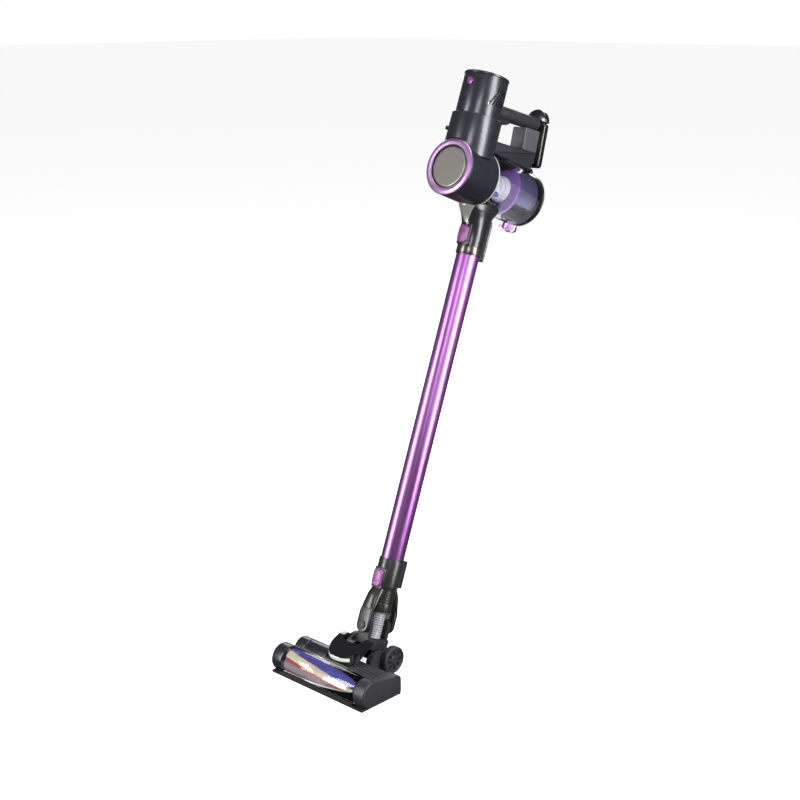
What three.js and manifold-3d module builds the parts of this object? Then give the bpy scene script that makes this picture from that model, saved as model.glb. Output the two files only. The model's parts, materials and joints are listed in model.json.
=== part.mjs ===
// Cordless stick vacuum, millimetres, +Z up.
// The origin is the centre of the sole plate's underside. -Y is the front, +X is the user's left.
// The wand leans back from the floor head; everything above the head is built in the wand's own
// frame, whose +Z runs up the wand and whose +Y points to the rear.
import * as THREE from 'three';
import { mergeVertices } from 'three/addons/utils/BufferGeometryUtils.js';
import Module from 'manifold-3d';

const wasm = await Module();
wasm.setup();

// ---- Driving dimensions ----------------------------------------------------------------------

const GAP = 0.3;                 // between pieces that rest on each other
const PLAY = 0.4;                // around pieces that slide or turn in one another
const BIG_ROUND = 36;            // sides of the barrel's and the tower's rounds
const ROUND = 24;                // sides of a middling round
const SMALL_ROUND = 12;          // sides of a small round

const LEAN = THREE.MathUtils.degToRad(20.7);   // the wand's lean back from upright
const WAND_FOOT_Y = 78;          // where the wand's axis meets the floor

// Wand
const TUBE_RADIUS = 22;
const TUBE_WALL = 1.2;
const TUBE_LENGTH = 589;
const COLLAR_LIP = 2;            // how far collars and sockets stand out from the tube
const COLLAR_HEIGHT = 15.6;
const SPIGOT_WALL = 2.5;
const SPIGOT_LENGTH = 44;        // the part of a collar that enters a socket
const SPIGOT_GRIP = 32;          // the part of a collar that is fixed in the tube
const SOCKET_WALL = 4.6;

// Release buttons on the neck and on the head's socket
const BUTTON_WIDTH = 23;
const BUTTON_HEIGHT = 35;
const BUTTON_DEPTH = 8;
const BUTTON_PRESS_ROOM = 2.8;
const BUTTON_BORDER = 2;
const HOOK_WIDTH = 8;
const HOOK_HEIGHT = 4;
const HOOK_SWING = 1.5;          // above and below the hook, for its rocking
const RAIL_WIDTH = 15;
const RAIL_DEPTH = 16;

// Handheld unit: the barrel lies across the wand, front to rear
const BARREL_RADIUS = 53.3;
const BARREL_WALL = 2.5;
const BARREL_FRONT = 111.4;      // the front wall's face, forward of the wand's axis
const SEAM_FRONT = 31;           // where the dark barrel ends and the clear cup begins
const BULKHEAD = 3;
const NECK_DROP = 70.9;          // from the barrel's underside to the neck's lower end
const TOWER_FRONT = 70.7;        // the motor tower's axis, forward of the wand's axis
const TOWER_RADIUS = 47.6;
const TOWER_RISE = 50.5;         // from the barrel's top to the tower's ledge
const LEDGE = 3;
const HOUSING_RADIUS = 42;
const HOUSING_WALL = 2.5;
const HOUSING_RISE = 74;         // from the ledge to the cap
const HOUSING_TUCK = 10;         // how far the motor housing reaches down into the tower
const CAP_HEIGHT = 4.3;
const CAP_LIP = 0.7;
const CAP_SLOTS = 10;
const BLADE_COUNT = 7;
const RING_DEPTH = 4;
const RING_WIDTH = 13;
const DISC_GROOVE = 2;

// Dust cup
const CUP_WALL = 2;
const CUP_REAR = 113.5;
const LID_DEPTH = 4.5;
const HINGE_RISE = 4.5;
const KNUCKLE_RADIUS = 3;
const HINGE_PIN_RADIUS = 1.5;
const LATCH_WIDTH = 20;
const LATCH_LENGTH = 33;
const LATCH_DEPTH = 14;
const SEAL_THICKNESS = 3;
const SEAL_DEPTH = 4;
const CYCLONE_RADIUS = 36;
const CYCLONE_REAR = 34;
const CYCLONE_RING_DEPTH = 6.6;
const SCREEN_RADIUS = 44;
const SCREEN_LENGTH = 64;
const SCREEN_WALL = 2;
const SCREEN_FLOOR = 22;         // the screen's flat underside, below the barrel's axis

// Handle, in a frame tilted so that the grip rises to the rear
const HANDLE_TILT = THREE.MathUtils.degToRad(6);
const GRIP_RADIUS = 13.2;
const GRIP_WALL = 2.4;
const GRIP_REAR = 100.5;
const FINGER_GAP_HEIGHT = 42.6;
const BLOCK_FRONT = 56;
const BLOCK_WALL = 1.9;
const CELL_SIDE_ROOM = 3.35;     // beside the cells, for their wiring
const ARM_LIP = 0.5;             // how far the base arm stands out from the battery housing
const TRIGGER_LENGTH = 33;
const TRIGGER_WIDTH = 13;
const TRIGGER_DEPTH = 11;
const COVER_WIDTH = 50;
const COVER_DEPTH = 13;
const COVER_BORDER = 8;          // of the battery cover, below the case
const COVER_CORNER = 8;
const COVER_DIP = 1.3;           // how far the tilt lets the cover reach below the barrel's top
const CELL_RADIUS = 9.15;
const CELL_LENGTH = 50;
const CELL_COUNT = 3;
const CASE_WALL = 1.4;

// Neck joint of the floor head, heights measured up the wand's axis
const ROLL_HEIGHT = 84;
const SOCKET_HEIGHT = 98;        // from the hose's upper end to the socket's mouth
const FORK_RISE = 29;            // from the roll axis to the underside of the socket
const EAR_INNER = 21;
const EAR_THICKNESS = 8;
const LEG_THICKNESS = 8.5;
const LEG_WIDTH = 29;
const ROLL_PIN_RADIUS = 4;
const HOSE_RADIUS = 13.5;
const HOSE_WALL = 2.4;
const HOSE_DROP = 24;            // from the roll axis to the hose's lower end
const BARREL_JOINT_RADIUS = 17;
const BARREL_JOINT_WIDTH = 54;
const TRUNNION_RADIUS = 7;
const CHEEK_THICKNESS = 12;

// Floor head
const HEAD_WIDTH = 240;
const HEAD_DEPTH = 102;
const SOLE_THICKNESS = 4;
const END_CAP_WIDTH = 26;
const CAP_WALL = 2.2;
const BRUSH_Y = -23;
const BRUSH_Z = 23.5;
const BRISTLE_RADIUS = 22.2;
const BRUSH_CORE_RADIUS = 14;
const BRUSH_AXLE_RADIUS = 4;
const BEARING_RADIUS = 10;
const BEARING_WIDTH = 7;
const WINDOW_RADIUS = 26.3;
const WINDOW_WALL = 1.7;
const MOTOR_Y = 29;
const MOTOR_HOUSING_RADIUS = 22;
const MOTOR_ROOM = 2.3;          // round the brush motor, inside its housing
const MOTOR_SINK = 3.3;          // how much of its housing's round is cut off by the sole
const MOTOR_HOUSING_END = -38;
const BRUSH_PULLEY_RADIUS = 11;
const MOTOR_PULLEY_RADIUS = 6.5;
const BELT_THICKNESS = 1.5;
const DECK_WALL = 2;
const DECK_HEIGHT = 34;
const AXLE_Y = 102;
const AXLE_Z = 26;
const WHEEL_RADIUS = 26;
const WHEEL_WIDTH = 13.5;
const WHEEL_STUB_RADIUS = 4;
const HOOD_RADIUS = 36;
const HOOD_WALL = 2.4;
const HOOD_FRONT_Y = -1;
const HOOD_REAR_Y = 68;
const HOOD_NOTCH = 48;
const LED_HEIGHT = 7;
const LED_HALF_ANGLE = 0.85;     // radians to each side of the hood's nose

// ---- Materials -------------------------------------------------------------------------------

const material = (color, roughness, metalness = 0, opacity = 1) => new THREE.MeshStandardMaterial({
  color, roughness, metalness, opacity, transparent: opacity < 1,
});
const darkGloss = material(0x3c3d45, 0.28);
const darkMatte = material(0x3a3b40, 0.6);
const blackGloss = material(0x17181c, 0.15);
const purpleMetal = material(0x8b3f9c, 0.3, 0.7);
const purplePlastic = material(0xa164a8, 0.35);
const smokyClear = material(0x8d8da8, 0.08, 0, 0.35);
const paleClear = material(0xdfe4e0, 0.15, 0, 0.6);
const satinMetal = material(0xb4b0a6, 0.35, 0.8);
const silverPlastic = material(0xc9c7c4, 0.4, 0.2);
const gunmetal = material(0x6c6a62, 0.35, 0.6);
const rubber = material(0x1c1c1e, 0.85);
const steel = material(0xb9bcc0, 0.3, 0.9);
const filterCloth = material(0xe9e7df, 0.9);
const boardGreen = material(0x24563a, 0.5);
const cellWrap = material(0x3d6fa6, 0.45);
const bristle = material(0xc0503a, 0.8);
const plush = material(0xd9d2d4, 0.9);
const lampLens = material(0xe6efe0, 0.2);

// ---- Solids ----------------------------------------------------------------------------------
// A solid here is a closed three.js geometry that holds positions and shared vertices only.

function welded(geometry) {
  const bare = geometry.clone();
  bare.deleteAttribute('normal');
  bare.deleteAttribute('uv');
  const merged = mergeVertices(bare, 1e-4);
  const corners = merged.index.array;
  const triangles = [];
  for (let i = 0; i < corners.length; i += 3) {
    const [a, b, c] = [corners[i], corners[i + 1], corners[i + 2]];
    if (a !== b && b !== c && c !== a) triangles.push(a, b, c);
  }
  merged.setIndex(triangles);
  return merged;
}

function signedVolume(positions, triangles) {
  const [a, b, c] = [new THREE.Vector3(), new THREE.Vector3(), new THREE.Vector3()];
  let sum = 0;
  for (let i = 0; i < triangles.length; i += 3) {
    a.fromArray(positions, 3 * triangles[i]);
    b.fromArray(positions, 3 * triangles[i + 1]);
    c.fromArray(positions, 3 * triangles[i + 2]);
    sum += a.dot(b.cross(c)) / 6;
  }
  return sum;
}

// The solid as manifold-3d holds it, with its faces pointing out.
function toManifold(solid) {
  const positions = new Float32Array(solid.attributes.position.array);
  const triangles = new Uint32Array(solid.index.array);
  if (signedVolume(positions, triangles) < 0) {
    for (let i = 0; i < triangles.length; i += 3) {
      [triangles[i], triangles[i + 1]] = [triangles[i + 1], triangles[i]];
    }
  }
  return new wasm.Manifold(new wasm.Mesh({ numProp: 3, vertProperties: positions, triVerts: triangles }));
}

function fromManifold(manifold) {
  const mesh = manifold.getMesh();
  const solid = new THREE.BufferGeometry();
  solid.setAttribute('position', new THREE.BufferAttribute(mesh.vertProperties, 3));
  solid.setIndex(new THREE.BufferAttribute(mesh.triVerts, 1));
  return solid;
}

function combined(operation, first, rest) {
  const result = rest.reduce((sum, solid) => sum[operation](toManifold(solid)), toManifold(first));
  return fromManifold(result);
}

const join = (first, ...rest) => combined('add', first, rest);
const cut = (first, ...rest) => combined('subtract', first, rest);
const common = (first, ...rest) => combined('intersect', first, rest);

function box([x0, x1], [y0, y1], [z0, z1]) {
  const geometry = new THREE.BoxGeometry(x1 - x0, y1 - y0, z1 - z0);
  return welded(geometry.translate((x0 + x1) / 2, (y0 + y1) / 2, (z0 + z1) / 2));
}

// A profile of [radius, height] points, which starts and ends on the axis or closes on itself,
// turned about Z.
function turned(profile, sides = ROUND) {
  const points = profile.map(([radius, height]) => new THREE.Vector2(radius, height));
  return welded(new THREE.LatheGeometry(points, sides).rotateX(Math.PI / 2));
}

function rod(radius, from, to, sides = ROUND) {
  return turned([[0, from], [radius, from], [radius, to], [0, to]], sides);
}

function tube(outer, inner, from, to, sides = ROUND) {
  return turned([[inner, from], [outer, from], [outer, to], [inner, to], [inner, from]], sides);
}

const polygon = (points) => new THREE.Shape(points.map(([x, y]) => new THREE.Vector2(x, y)));

// A flat outline in X and Y, extruded along Z.
function extruded(outline, from, to, curveSegments = 8) {
  const shape = outline instanceof THREE.Shape ? outline : polygon(outline);
  const settings = { depth: to - from, bevelEnabled: false, curveSegments };
  return welded(new THREE.ExtrudeGeometry(shape, settings).translate(0, 0, from));
}

// Rings of points with equal counts, one above the other, joined into a closed solid.
function lofted(rings) {
  const count = rings[0].length;
  const index = [];
  for (let level = 0; level + 1 < rings.length; level += 1) {
    for (let i = 0; i < count; i += 1) {
      const a = level * count + i;
      const b = level * count + (i + 1) % count;
      index.push(a, b, b + count, a, b + count, a + count);
    }
  }
  const top = (rings.length - 1) * count;
  for (let i = 1; i + 1 < count; i += 1) {
    index.push(0, i + 1, i, top, top + i, top + i + 1);
  }
  const solid = new THREE.BufferGeometry();
  const positions = rings.flat().flatMap((point) => point.toArray());
  solid.setAttribute('position', new THREE.Float32BufferAttribute(positions, 3));
  solid.setIndex(index);
  return solid;
}

// Placing: each returns a moved copy.
const shifted = (solid, x, y, z) => solid.clone().translate(x, y, z);
const tipped = (solid, angle) => solid.clone().rotateX(angle);
const spun = (solid, angle) => solid.clone().rotateZ(angle);
const alongX = (solid) => solid.clone().rotateX(Math.PI / 2).rotateZ(Math.PI / 2);
const alongY = (solid) => tipped(solid, -Math.PI / 2);
const facingFront = (solid) => tipped(solid, Math.PI / 2);
const mirrorX = (solid) => solid.clone().scale(-1, 1, 1);
const mirrorY = (solid) => solid.clone().scale(1, -1, 1);

// An outline in the side plane, given in y and z, extruded across X.
const sideways = (outline, from, to, curveSegments) => alongX(extruded(outline, from, to, curveSegments));

// An egg-shaped ring at one height, with its own reach to the front and to the rear.
function eggRing(halfWidth, front, rear, height, count = 28) {
  const points = [];
  for (let i = 0; i < count; i += 1) {
    const angle = (i / count) * 2 * Math.PI;
    const reach = Math.sin(angle) < 0 ? front : rear;
    points.push(new THREE.Vector3(halfWidth * Math.cos(angle), reach * Math.sin(angle), height));
  }
  return points;
}

// ---- The tree --------------------------------------------------------------------------------

const vacuum = new THREE.Group();

const wandFrame = new THREE.Group();
wandFrame.position.y = WAND_FOOT_Y;
wandFrame.rotation.x = -LEAN;
vacuum.add(wandFrame);

function add(group, name, solid, finish) {
  const faceted = fromManifold(toManifold(solid)).toNonIndexed();
  faceted.computeVertexNormals();
  const mesh = new THREE.Mesh(faceted, finish);
  mesh.name = name;
  group.add(mesh);
}

// ---- Wand ------------------------------------------------------------------------------------

const COLLAR_RADIUS = TUBE_RADIUS + COLLAR_LIP;
const BORE_RADIUS = COLLAR_RADIUS - SOCKET_WALL;
const SPIGOT_RADIUS = BORE_RADIUS - PLAY;
const AIRWAY_RADIUS = SPIGOT_RADIUS - SPIGOT_WALL;
const SOCKET_BOTTOM = ROLL_HEIGHT + FORK_RISE;
const SOCKET_TOP = SOCKET_BOTTOM + SOCKET_HEIGHT + 2;
const TUBE_BOTTOM = SOCKET_TOP + GAP;
const TUBE_TOP = TUBE_BOTTOM + TUBE_LENGTH;
const COLLAR_TOP = TUBE_TOP + GAP + COLLAR_HEIGHT;

function wandTube() {
  return tube(TUBE_RADIUS, TUBE_RADIUS - TUBE_WALL, TUBE_BOTTOM, TUBE_TOP);
}

function wandUpperCollar() {
  const grip = TUBE_RADIUS - TUBE_WALL - GAP;
  return turned([
    [AIRWAY_RADIUS, TUBE_TOP - SPIGOT_GRIP],
    [grip, TUBE_TOP - SPIGOT_GRIP],
    [grip, TUBE_TOP + GAP],
    [COLLAR_RADIUS, TUBE_TOP + GAP],
    [COLLAR_RADIUS, COLLAR_TOP],
    [SPIGOT_RADIUS, COLLAR_TOP],
    [SPIGOT_RADIUS, COLLAR_TOP + SPIGOT_LENGTH],
    [AIRWAY_RADIUS, COLLAR_TOP + SPIGOT_LENGTH],
    [AIRWAY_RADIUS, TUBE_TOP - SPIGOT_GRIP],
  ]);
}

function wandLowerCollar() {
  const grip = TUBE_RADIUS - TUBE_WALL - GAP;
  return turned([
    [AIRWAY_RADIUS, TUBE_BOTTOM - SPIGOT_LENGTH],
    [SPIGOT_RADIUS, TUBE_BOTTOM - SPIGOT_LENGTH],
    [SPIGOT_RADIUS, TUBE_BOTTOM + GAP],
    [grip, TUBE_BOTTOM + GAP],
    [grip, TUBE_BOTTOM + SPIGOT_GRIP],
    [AIRWAY_RADIUS, TUBE_BOTTOM + SPIGOT_GRIP],
    [AIRWAY_RADIUS, TUBE_BOTTOM - SPIGOT_LENGTH],
  ]);
}

add(wandFrame, 'wand_tube', wandTube(), purpleMetal);
add(wandFrame, 'wand_upper_collar', wandUpperCollar(), gunmetal);
add(wandFrame, 'wand_lower_collar', wandLowerCollar(), gunmetal);

// ---- Release buttons -------------------------------------------------------------------------
// Each is a rocker on the front of a socket. Its hook is at the end nearest the socket's mouth.

const BUTTON_BACK = COLLAR_RADIUS;
const POCKET_FLOOR = BUTTON_BACK - BUTTON_PRESS_ROOM;
const BOSS_FRONT = BUTTON_BACK + 3;

// The raised surround that a rocker sits in, with its pocket left to be cut.
function rockerBoss(bottom) {
  const half = BUTTON_WIDTH / 2 + BUTTON_BORDER;
  const inner = Math.sqrt(COLLAR_RADIUS ** 2 - half ** 2) - 2;
  return box([-half, half], [-BOSS_FRONT, -inner], [bottom, bottom + BUTTON_HEIGHT + 2 * BUTTON_BORDER]);
}

function rockerPocket(bottom, hookAtTop) {
  const half = BUTTON_WIDTH / 2 + PLAY;
  const low = bottom + BUTTON_BORDER - PLAY;
  const high = bottom + BUTTON_BORDER + BUTTON_HEIGHT + PLAY;
  const hookZ = hookHeight(bottom, hookAtTop);
  const hookHalf = HOOK_HEIGHT / 2 + HOOK_SWING;
  const hookReach = HOOK_WIDTH / 2 + PLAY;
  return join(
    box([-half, half], [-COLLAR_RADIUS - BUTTON_DEPTH - 5, -POCKET_FLOOR], [low, high]),
    box([-hookReach, hookReach], [-POCKET_FLOOR - 1, 0], [hookZ - hookHalf, hookZ + hookHalf]),
  );
}

function hookHeight(bottom, hookAtTop) {
  const inset = BUTTON_BORDER + HOOK_HEIGHT;
  return hookAtTop ? bottom + BUTTON_HEIGHT + 2 * BUTTON_BORDER - inset : bottom + inset;
}

function rocker(bottom, hookAtTop) {
  const low = bottom + BUTTON_BORDER + 0.6;
  const high = bottom + BUTTON_BORDER + BUTTON_HEIGHT - 0.6;
  const hookZ = hookHeight(bottom, hookAtTop);
  const front = BUTTON_BACK + BUTTON_DEPTH;
  const side = [
    [-BUTTON_BACK, low], [-front + 1.5, low], [-front, low + 3], [-front + 1.2, (low + high) / 2],
    [-front, high - 3], [-front + 1.5, high], [-BUTTON_BACK, high],
  ];
  return join(
    sideways(side, -BUTTON_WIDTH / 2, BUTTON_WIDTH / 2),
    box([-HOOK_WIDTH / 2, HOOK_WIDTH / 2], [-BUTTON_BACK - 1, -SPIGOT_RADIUS - PLAY],
      [hookZ - HOOK_HEIGHT / 2, hookZ + HOOK_HEIGHT / 2]),
  );
}

// A contact rail on the rear of a socket, with a rounded lower end.
function rail(bottom, top) {
  const front = COLLAR_RADIUS + PLAY;
  const outline = new THREE.Shape();
  outline.moveTo(-RAIL_WIDTH / 2, top);
  outline.lineTo(-RAIL_WIDTH / 2, bottom + RAIL_WIDTH / 2);
  outline.absarc(0, bottom + RAIL_WIDTH / 2, RAIL_WIDTH / 2, Math.PI, 2 * Math.PI, false);
  outline.lineTo(RAIL_WIDTH / 2, top);
  outline.closePath();
  const flat = extruded(outline, -front - RAIL_DEPTH, -front);
  return facingFront(flat);
}

// ---- Neck socket and fork of the floor head --------------------------------------------------

const LEG_INNER = EAR_INNER + EAR_THICKNESS + 2.5;
const LEG_OUTER = LEG_INNER + LEG_THICKNESS;
const SOCKET_BORE_BOTTOM = TUBE_BOTTOM - SPIGOT_LENGTH - 2;
const HEAD_BUTTON_BOTTOM = SOCKET_TOP - BUTTON_HEIGHT - 2 * BUTTON_BORDER - 18;
const RIB_COUNT = 3;
const RIB_DEPTH = 1.8;
const RIB_EASE = 0.5;            // the height over which a rib steps out
const RIB_BOTTOM = SOCKET_BOTTOM + 17;
const RIB_TOP = HEAD_BUTTON_BOTTOM + 2;

function socketProfile() {
  const waist = COLLAR_RADIUS - 4;
  const rib = (RIB_TOP - RIB_BOTTOM) / (2 * RIB_COUNT);
  const profile = [[HOSE_RADIUS - 1, SOCKET_BOTTOM], [COLLAR_RADIUS - 2, SOCKET_BOTTOM]];
  profile.push([COLLAR_RADIUS - 2, RIB_BOTTOM]);
  for (let i = 0; i < RIB_COUNT; i += 1) {
    const z = RIB_BOTTOM + 2 * i * rib;
    profile.push([waist, z + RIB_EASE], [waist, z + rib]);
    profile.push([waist + RIB_DEPTH, z + rib + RIB_EASE], [waist + RIB_DEPTH, z + 2 * rib]);
  }
  profile.push([COLLAR_RADIUS, RIB_TOP + 4], [COLLAR_RADIUS, SOCKET_TOP], [BORE_RADIUS, SOCKET_TOP]);
  profile.push([BORE_RADIUS, SOCKET_BORE_BOTTOM], [HOSE_RADIUS - 1, SOCKET_BORE_BOTTOM]);
  profile.push([HOSE_RADIUS - 1, SOCKET_BOTTOM]);
  return profile;
}

// One leg of the fork, drawn for the front; the rear leg is its mirror image.
function forkLeg() {
  const root = COLLAR_RADIUS - 5;
  const side = [
    [-root, SOCKET_BOTTOM + 8], [-root, RIB_TOP], [-COLLAR_RADIUS - 1, RIB_TOP],
    [-LEG_OUTER + 4, ROLL_HEIGHT + 44], [-LEG_OUTER, ROLL_HEIGHT + 24],
    [-LEG_OUTER, ROLL_HEIGHT - LEG_WIDTH], [-LEG_INNER, ROLL_HEIGHT - LEG_WIDTH],
    [-LEG_INNER, SOCKET_BOTTOM - 8],
  ];
  const tongue = new THREE.Shape();
  tongue.moveTo(LEG_WIDTH / 2, RIB_TOP + 1);
  tongue.lineTo(-LEG_WIDTH / 2, RIB_TOP + 1);
  tongue.lineTo(-LEG_WIDTH / 2, ROLL_HEIGHT);
  tongue.absarc(0, ROLL_HEIGHT, LEG_WIDTH / 2, Math.PI, 2 * Math.PI, false);
  tongue.closePath();
  const outline = facingFront(extruded(tongue, 0, LEG_OUTER + 1));
  return common(sideways(side, -LEG_WIDTH, LEG_WIDTH), outline);
}

function headSocket() {
  const leg = forkLeg();
  const pinHoles = alongY(rod(ROLL_PIN_RADIUS + PLAY, -LEG_OUTER - 1, LEG_OUTER + 1, SMALL_ROUND));
  const body = join(turned(socketProfile(), ROUND), leg, mirrorY(leg), rockerBoss(HEAD_BUTTON_BOTTOM));
  const bores = join(
    rod(BORE_RADIUS, SOCKET_BORE_BOTTOM, SOCKET_TOP + 1, ROUND),
    rod(HOSE_RADIUS - 1, 0, SOCKET_TOP, ROUND),
  );
  return cut(
    body,
    bores,
    rockerPocket(HEAD_BUTTON_BOTTOM, true),
    shifted(pinHoles, 0, 0, ROLL_HEIGHT),
  );
}

// A roll pin through the front leg and ear, with a flat head outside the leg.
function rollPin() {
  const head = ROLL_PIN_RADIUS * 2;
  const profile = [
    [0, EAR_INNER - 1.5], [ROLL_PIN_RADIUS, EAR_INNER - 1.5], [ROLL_PIN_RADIUS, LEG_OUTER + GAP],
    [head, LEG_OUTER + GAP], [head, LEG_OUTER + 1.5], [head - 1, LEG_OUTER + 2.3], [0, LEG_OUTER + 2.3],
  ];
  return shifted(facingFront(turned(profile, SMALL_ROUND)), 0, 0, ROLL_HEIGHT);
}

function hose() {
  const bottom = ROLL_HEIGHT - HOSE_DROP + GAP;
  return tube(HOSE_RADIUS, HOSE_RADIUS - HOSE_WALL, bottom, SOCKET_BOTTOM - GAP, ROUND);
}

add(wandFrame, 'head_socket', headSocket(), gunmetal);
add(wandFrame, 'socket_button', rocker(HEAD_BUTTON_BOTTOM, true), purplePlastic);
add(wandFrame, 'socket_rail', rail(RIB_TOP + 1, SOCKET_TOP - 1), darkMatte);
add(wandFrame, 'hose', hose(), silverPlastic);
add(wandFrame, 'roll_pin_front', rollPin(), steel);
add(wandFrame, 'roll_pin_rear', mirrorY(rollPin()), steel);

// ---- Elbow -----------------------------------------------------------------------------------
// It turns about the wheels' axle, which is placed in the floor head's frame.

const AXLE_IN_WAND_Y = (AXLE_Y - WAND_FOOT_Y) * Math.cos(LEAN) - AXLE_Z * Math.sin(LEAN);
const AXLE_IN_WAND_Z = (AXLE_Y - WAND_FOOT_Y) * Math.sin(LEAN) + AXLE_Z * Math.cos(LEAN);
const AIRWAY_TURN = Math.PI / 2 + LEAN;
const CHEEK_INNER = BARREL_JOINT_WIDTH / 2 + 2;
const CHEEK_OUTER = CHEEK_INNER + CHEEK_THICKNESS;

function elbow() {
  const reach = EAR_INNER + EAR_THICKNESS;
  const base = ROLL_HEIGHT - HOSE_DROP;
  const ears = alongY(rod(LEG_WIDTH / 2 - 2, -reach, reach, SMALL_ROUND));
  const column = box([-LEG_WIDTH / 2 + 2, LEG_WIDTH / 2 - 2], [-reach, reach], [base - 6, ROLL_HEIGHT]);
  const flare = [
    [-reach, base], [-reach, base - 10], [AXLE_IN_WAND_Y - 12, AXLE_IN_WAND_Z],
    [AXLE_IN_WAND_Y + 12, AXLE_IN_WAND_Z], [reach, base - 10], [reach, base],
  ];
  const cross = rod(BARREL_JOINT_RADIUS, -BARREL_JOINT_WIDTH / 2, BARREL_JOINT_WIDTH / 2, ROUND);
  const trunnion = CHEEK_OUTER - 3;
  const pivots = rod(TRUNNION_RADIUS, -trunnion, trunnion, SMALL_ROUND);
  const clear = base + 0.1;
  const pinHoles = alongY(rod(ROLL_PIN_RADIUS + PLAY, -reach - 1, reach + 1, SMALL_ROUND));
  return cut(
    join(
      shifted(ears, 0, 0, ROLL_HEIGHT),
      column,
      sideways(flare, -LEG_WIDTH / 2 - 2, LEG_WIDTH / 2 + 2),
      shifted(alongX(cross), 0, AXLE_IN_WAND_Y, AXLE_IN_WAND_Z),
      shifted(alongX(pivots), 0, AXLE_IN_WAND_Y, AXLE_IN_WAND_Z),
    ),
    box([-LEG_WIDTH, LEG_WIDTH], [-EAR_INNER, EAR_INNER], [clear, ROLL_HEIGHT + LEG_WIDTH]),
    rod(HOSE_RADIUS - HOSE_WALL - 1, AXLE_IN_WAND_Z, clear + 1, ROUND),
    shifted(tipped(rod(HOSE_RADIUS - HOSE_WALL - 2, 0, 3 * BARREL_JOINT_RADIUS, ROUND), AIRWAY_TURN),
      0, AXLE_IN_WAND_Y, AXLE_IN_WAND_Z),
    shifted(pinHoles, 0, 0, ROLL_HEIGHT),
  );
}

add(wandFrame, 'elbow', elbow(), darkMatte);

// ---- Handheld unit: frame at the barrel's axis -----------------------------------------------

const handheld = new THREE.Group();
const NECK_BOTTOM = -(BARREL_RADIUS + NECK_DROP);
handheld.position.z = COLLAR_TOP + GAP - NECK_BOTTOM;
wandFrame.add(handheld);

const LEDGE_Z = BARREL_RADIUS + TOWER_RISE;
const HOUSING_TOP = LEDGE_Z + HOUSING_RISE;
const TOWER_BORE = TOWER_RADIUS - BARREL_WALL;
const tower = (solid) => shifted(solid, 0, -TOWER_FRONT, 0);
const barrel = (radius, from, to, sides = BIG_ROUND) => alongY(rod(radius, from, to, sides));

// Neck: round at the wand, spreading to a saddle that wraps the barrel's underside.
function neckForm(grow) {
  const low = NECK_BOTTOM;
  const rings = [
    [COLLAR_RADIUS, COLLAR_RADIUS, COLLAR_RADIUS, low],
    [COLLAR_RADIUS, COLLAR_RADIUS, COLLAR_RADIUS, low + 38],
    [COLLAR_RADIUS + 1, COLLAR_RADIUS + 8, COLLAR_RADIUS + 2, low + 52],
    [COLLAR_RADIUS + 4, COLLAR_RADIUS + 22, COLLAR_RADIUS + 10, low + 64],
    [COLLAR_RADIUS + 6, COLLAR_RADIUS + 26, COLLAR_RADIUS + 16, low + 72],
    [COLLAR_RADIUS + 8, COLLAR_RADIUS + 26, COLLAR_RADIUS + 23, low + 86],
  ];
  return lofted(rings.map(([width, front, rear, z]) => eggRing(width + grow, front + grow, rear + grow, z)));
}

const PANEL_HALF = 20;
const PANEL_BOTTOM = NECK_BOTTOM + BUTTON_HEIGHT + 2 * BUTTON_BORDER + 2;
const PANEL_THICKNESS = 2;

// The triangle that bounds the neck's front panel, grown all round by a clearance.
function panelBounds(clearance) {
  const top = -BARREL_RADIUS + 8;
  const outline = [
    [-3 - clearance, PANEL_BOTTOM - clearance], [3 + clearance, PANEL_BOTTOM - clearance],
    [PANEL_HALF + clearance, -BARREL_RADIUS], [PANEL_HALF + clearance, top],
    [-PANEL_HALF - clearance, top], [-PANEL_HALF - clearance, -BARREL_RADIUS],
  ];
  return facingFront(extruded(outline, 5, 2 * COLLAR_RADIUS + 20));
}

const INLET_REAR = SEAM_FRONT + 1;
const INLET_FRONT = INLET_REAR + 11;
const INLET_HALF = 12;
const INLET_RISE = 12;

function neck() {
  const saddle = barrel(BARREL_RADIUS + PLAY, -200, 200);
  const pocket = common(panelBounds(GAP), cut(neckForm(5), neckForm(-PANEL_THICKNESS - GAP)));
  const bore = rod(BORE_RADIUS, NECK_BOTTOM - 1, NECK_BOTTOM + SPIGOT_LENGTH + 3);
  const turnZ = NECK_BOTTOM + SPIGOT_LENGTH;
  const duct = [
    [BORE_RADIUS - 5, turnZ], [-BORE_RADIUS + 5, turnZ], [-INLET_FRONT, -BARREL_RADIUS - 6],
    [-INLET_FRONT, -BARREL_RADIUS + 4], [-INLET_REAR, -BARREL_RADIUS + 4],
    [-INLET_REAR, -BARREL_RADIUS - 4], [BORE_RADIUS - 5, turnZ + 8],
  ];
  return cut(
    join(neckForm(0), rockerBoss(NECK_BOTTOM)),
    saddle,
    bore,
    sideways(duct, -INLET_HALF, INLET_HALF),
    pocket,
    rockerPocket(NECK_BOTTOM, false),
  );
}

function neckPanel() {
  const skin = cut(neckForm(0), neckForm(-PANEL_THICKNESS));
  return cut(common(skin, panelBounds(0)), barrel(BARREL_RADIUS + PLAY, -200, 200));
}

function neckRail() {
  return cut(rail(NECK_BOTTOM - 20, NECK_BOTTOM + 59), neckForm(PLAY));
}

add(handheld, 'neck', neck(), darkGloss);
add(handheld, 'neck_panel', neckPanel(), silverPlastic);
add(handheld, 'neck_button', rocker(NECK_BOTTOM, false), purplePlastic);
add(handheld, 'neck_rail', neckRail(), darkMatte);

// ---- Barrel and motor tower ------------------------------------------------------------------

const KNOB_RADIUS = 3.8;
const KNOB_ANGLE = THREE.MathUtils.degToRad(-134);   // round the tower from +X
const KNOB_Z = BARREL_RADIUS + 19.5;

// A rod that points out from the tower's axis at an angle and a height.
function radialRod(radius, from, to, angle, z) {
  return tower(shifted(spun(alongX(rod(radius, from, to, SMALL_ROUND)), angle), 0, 0, z));
}

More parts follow.
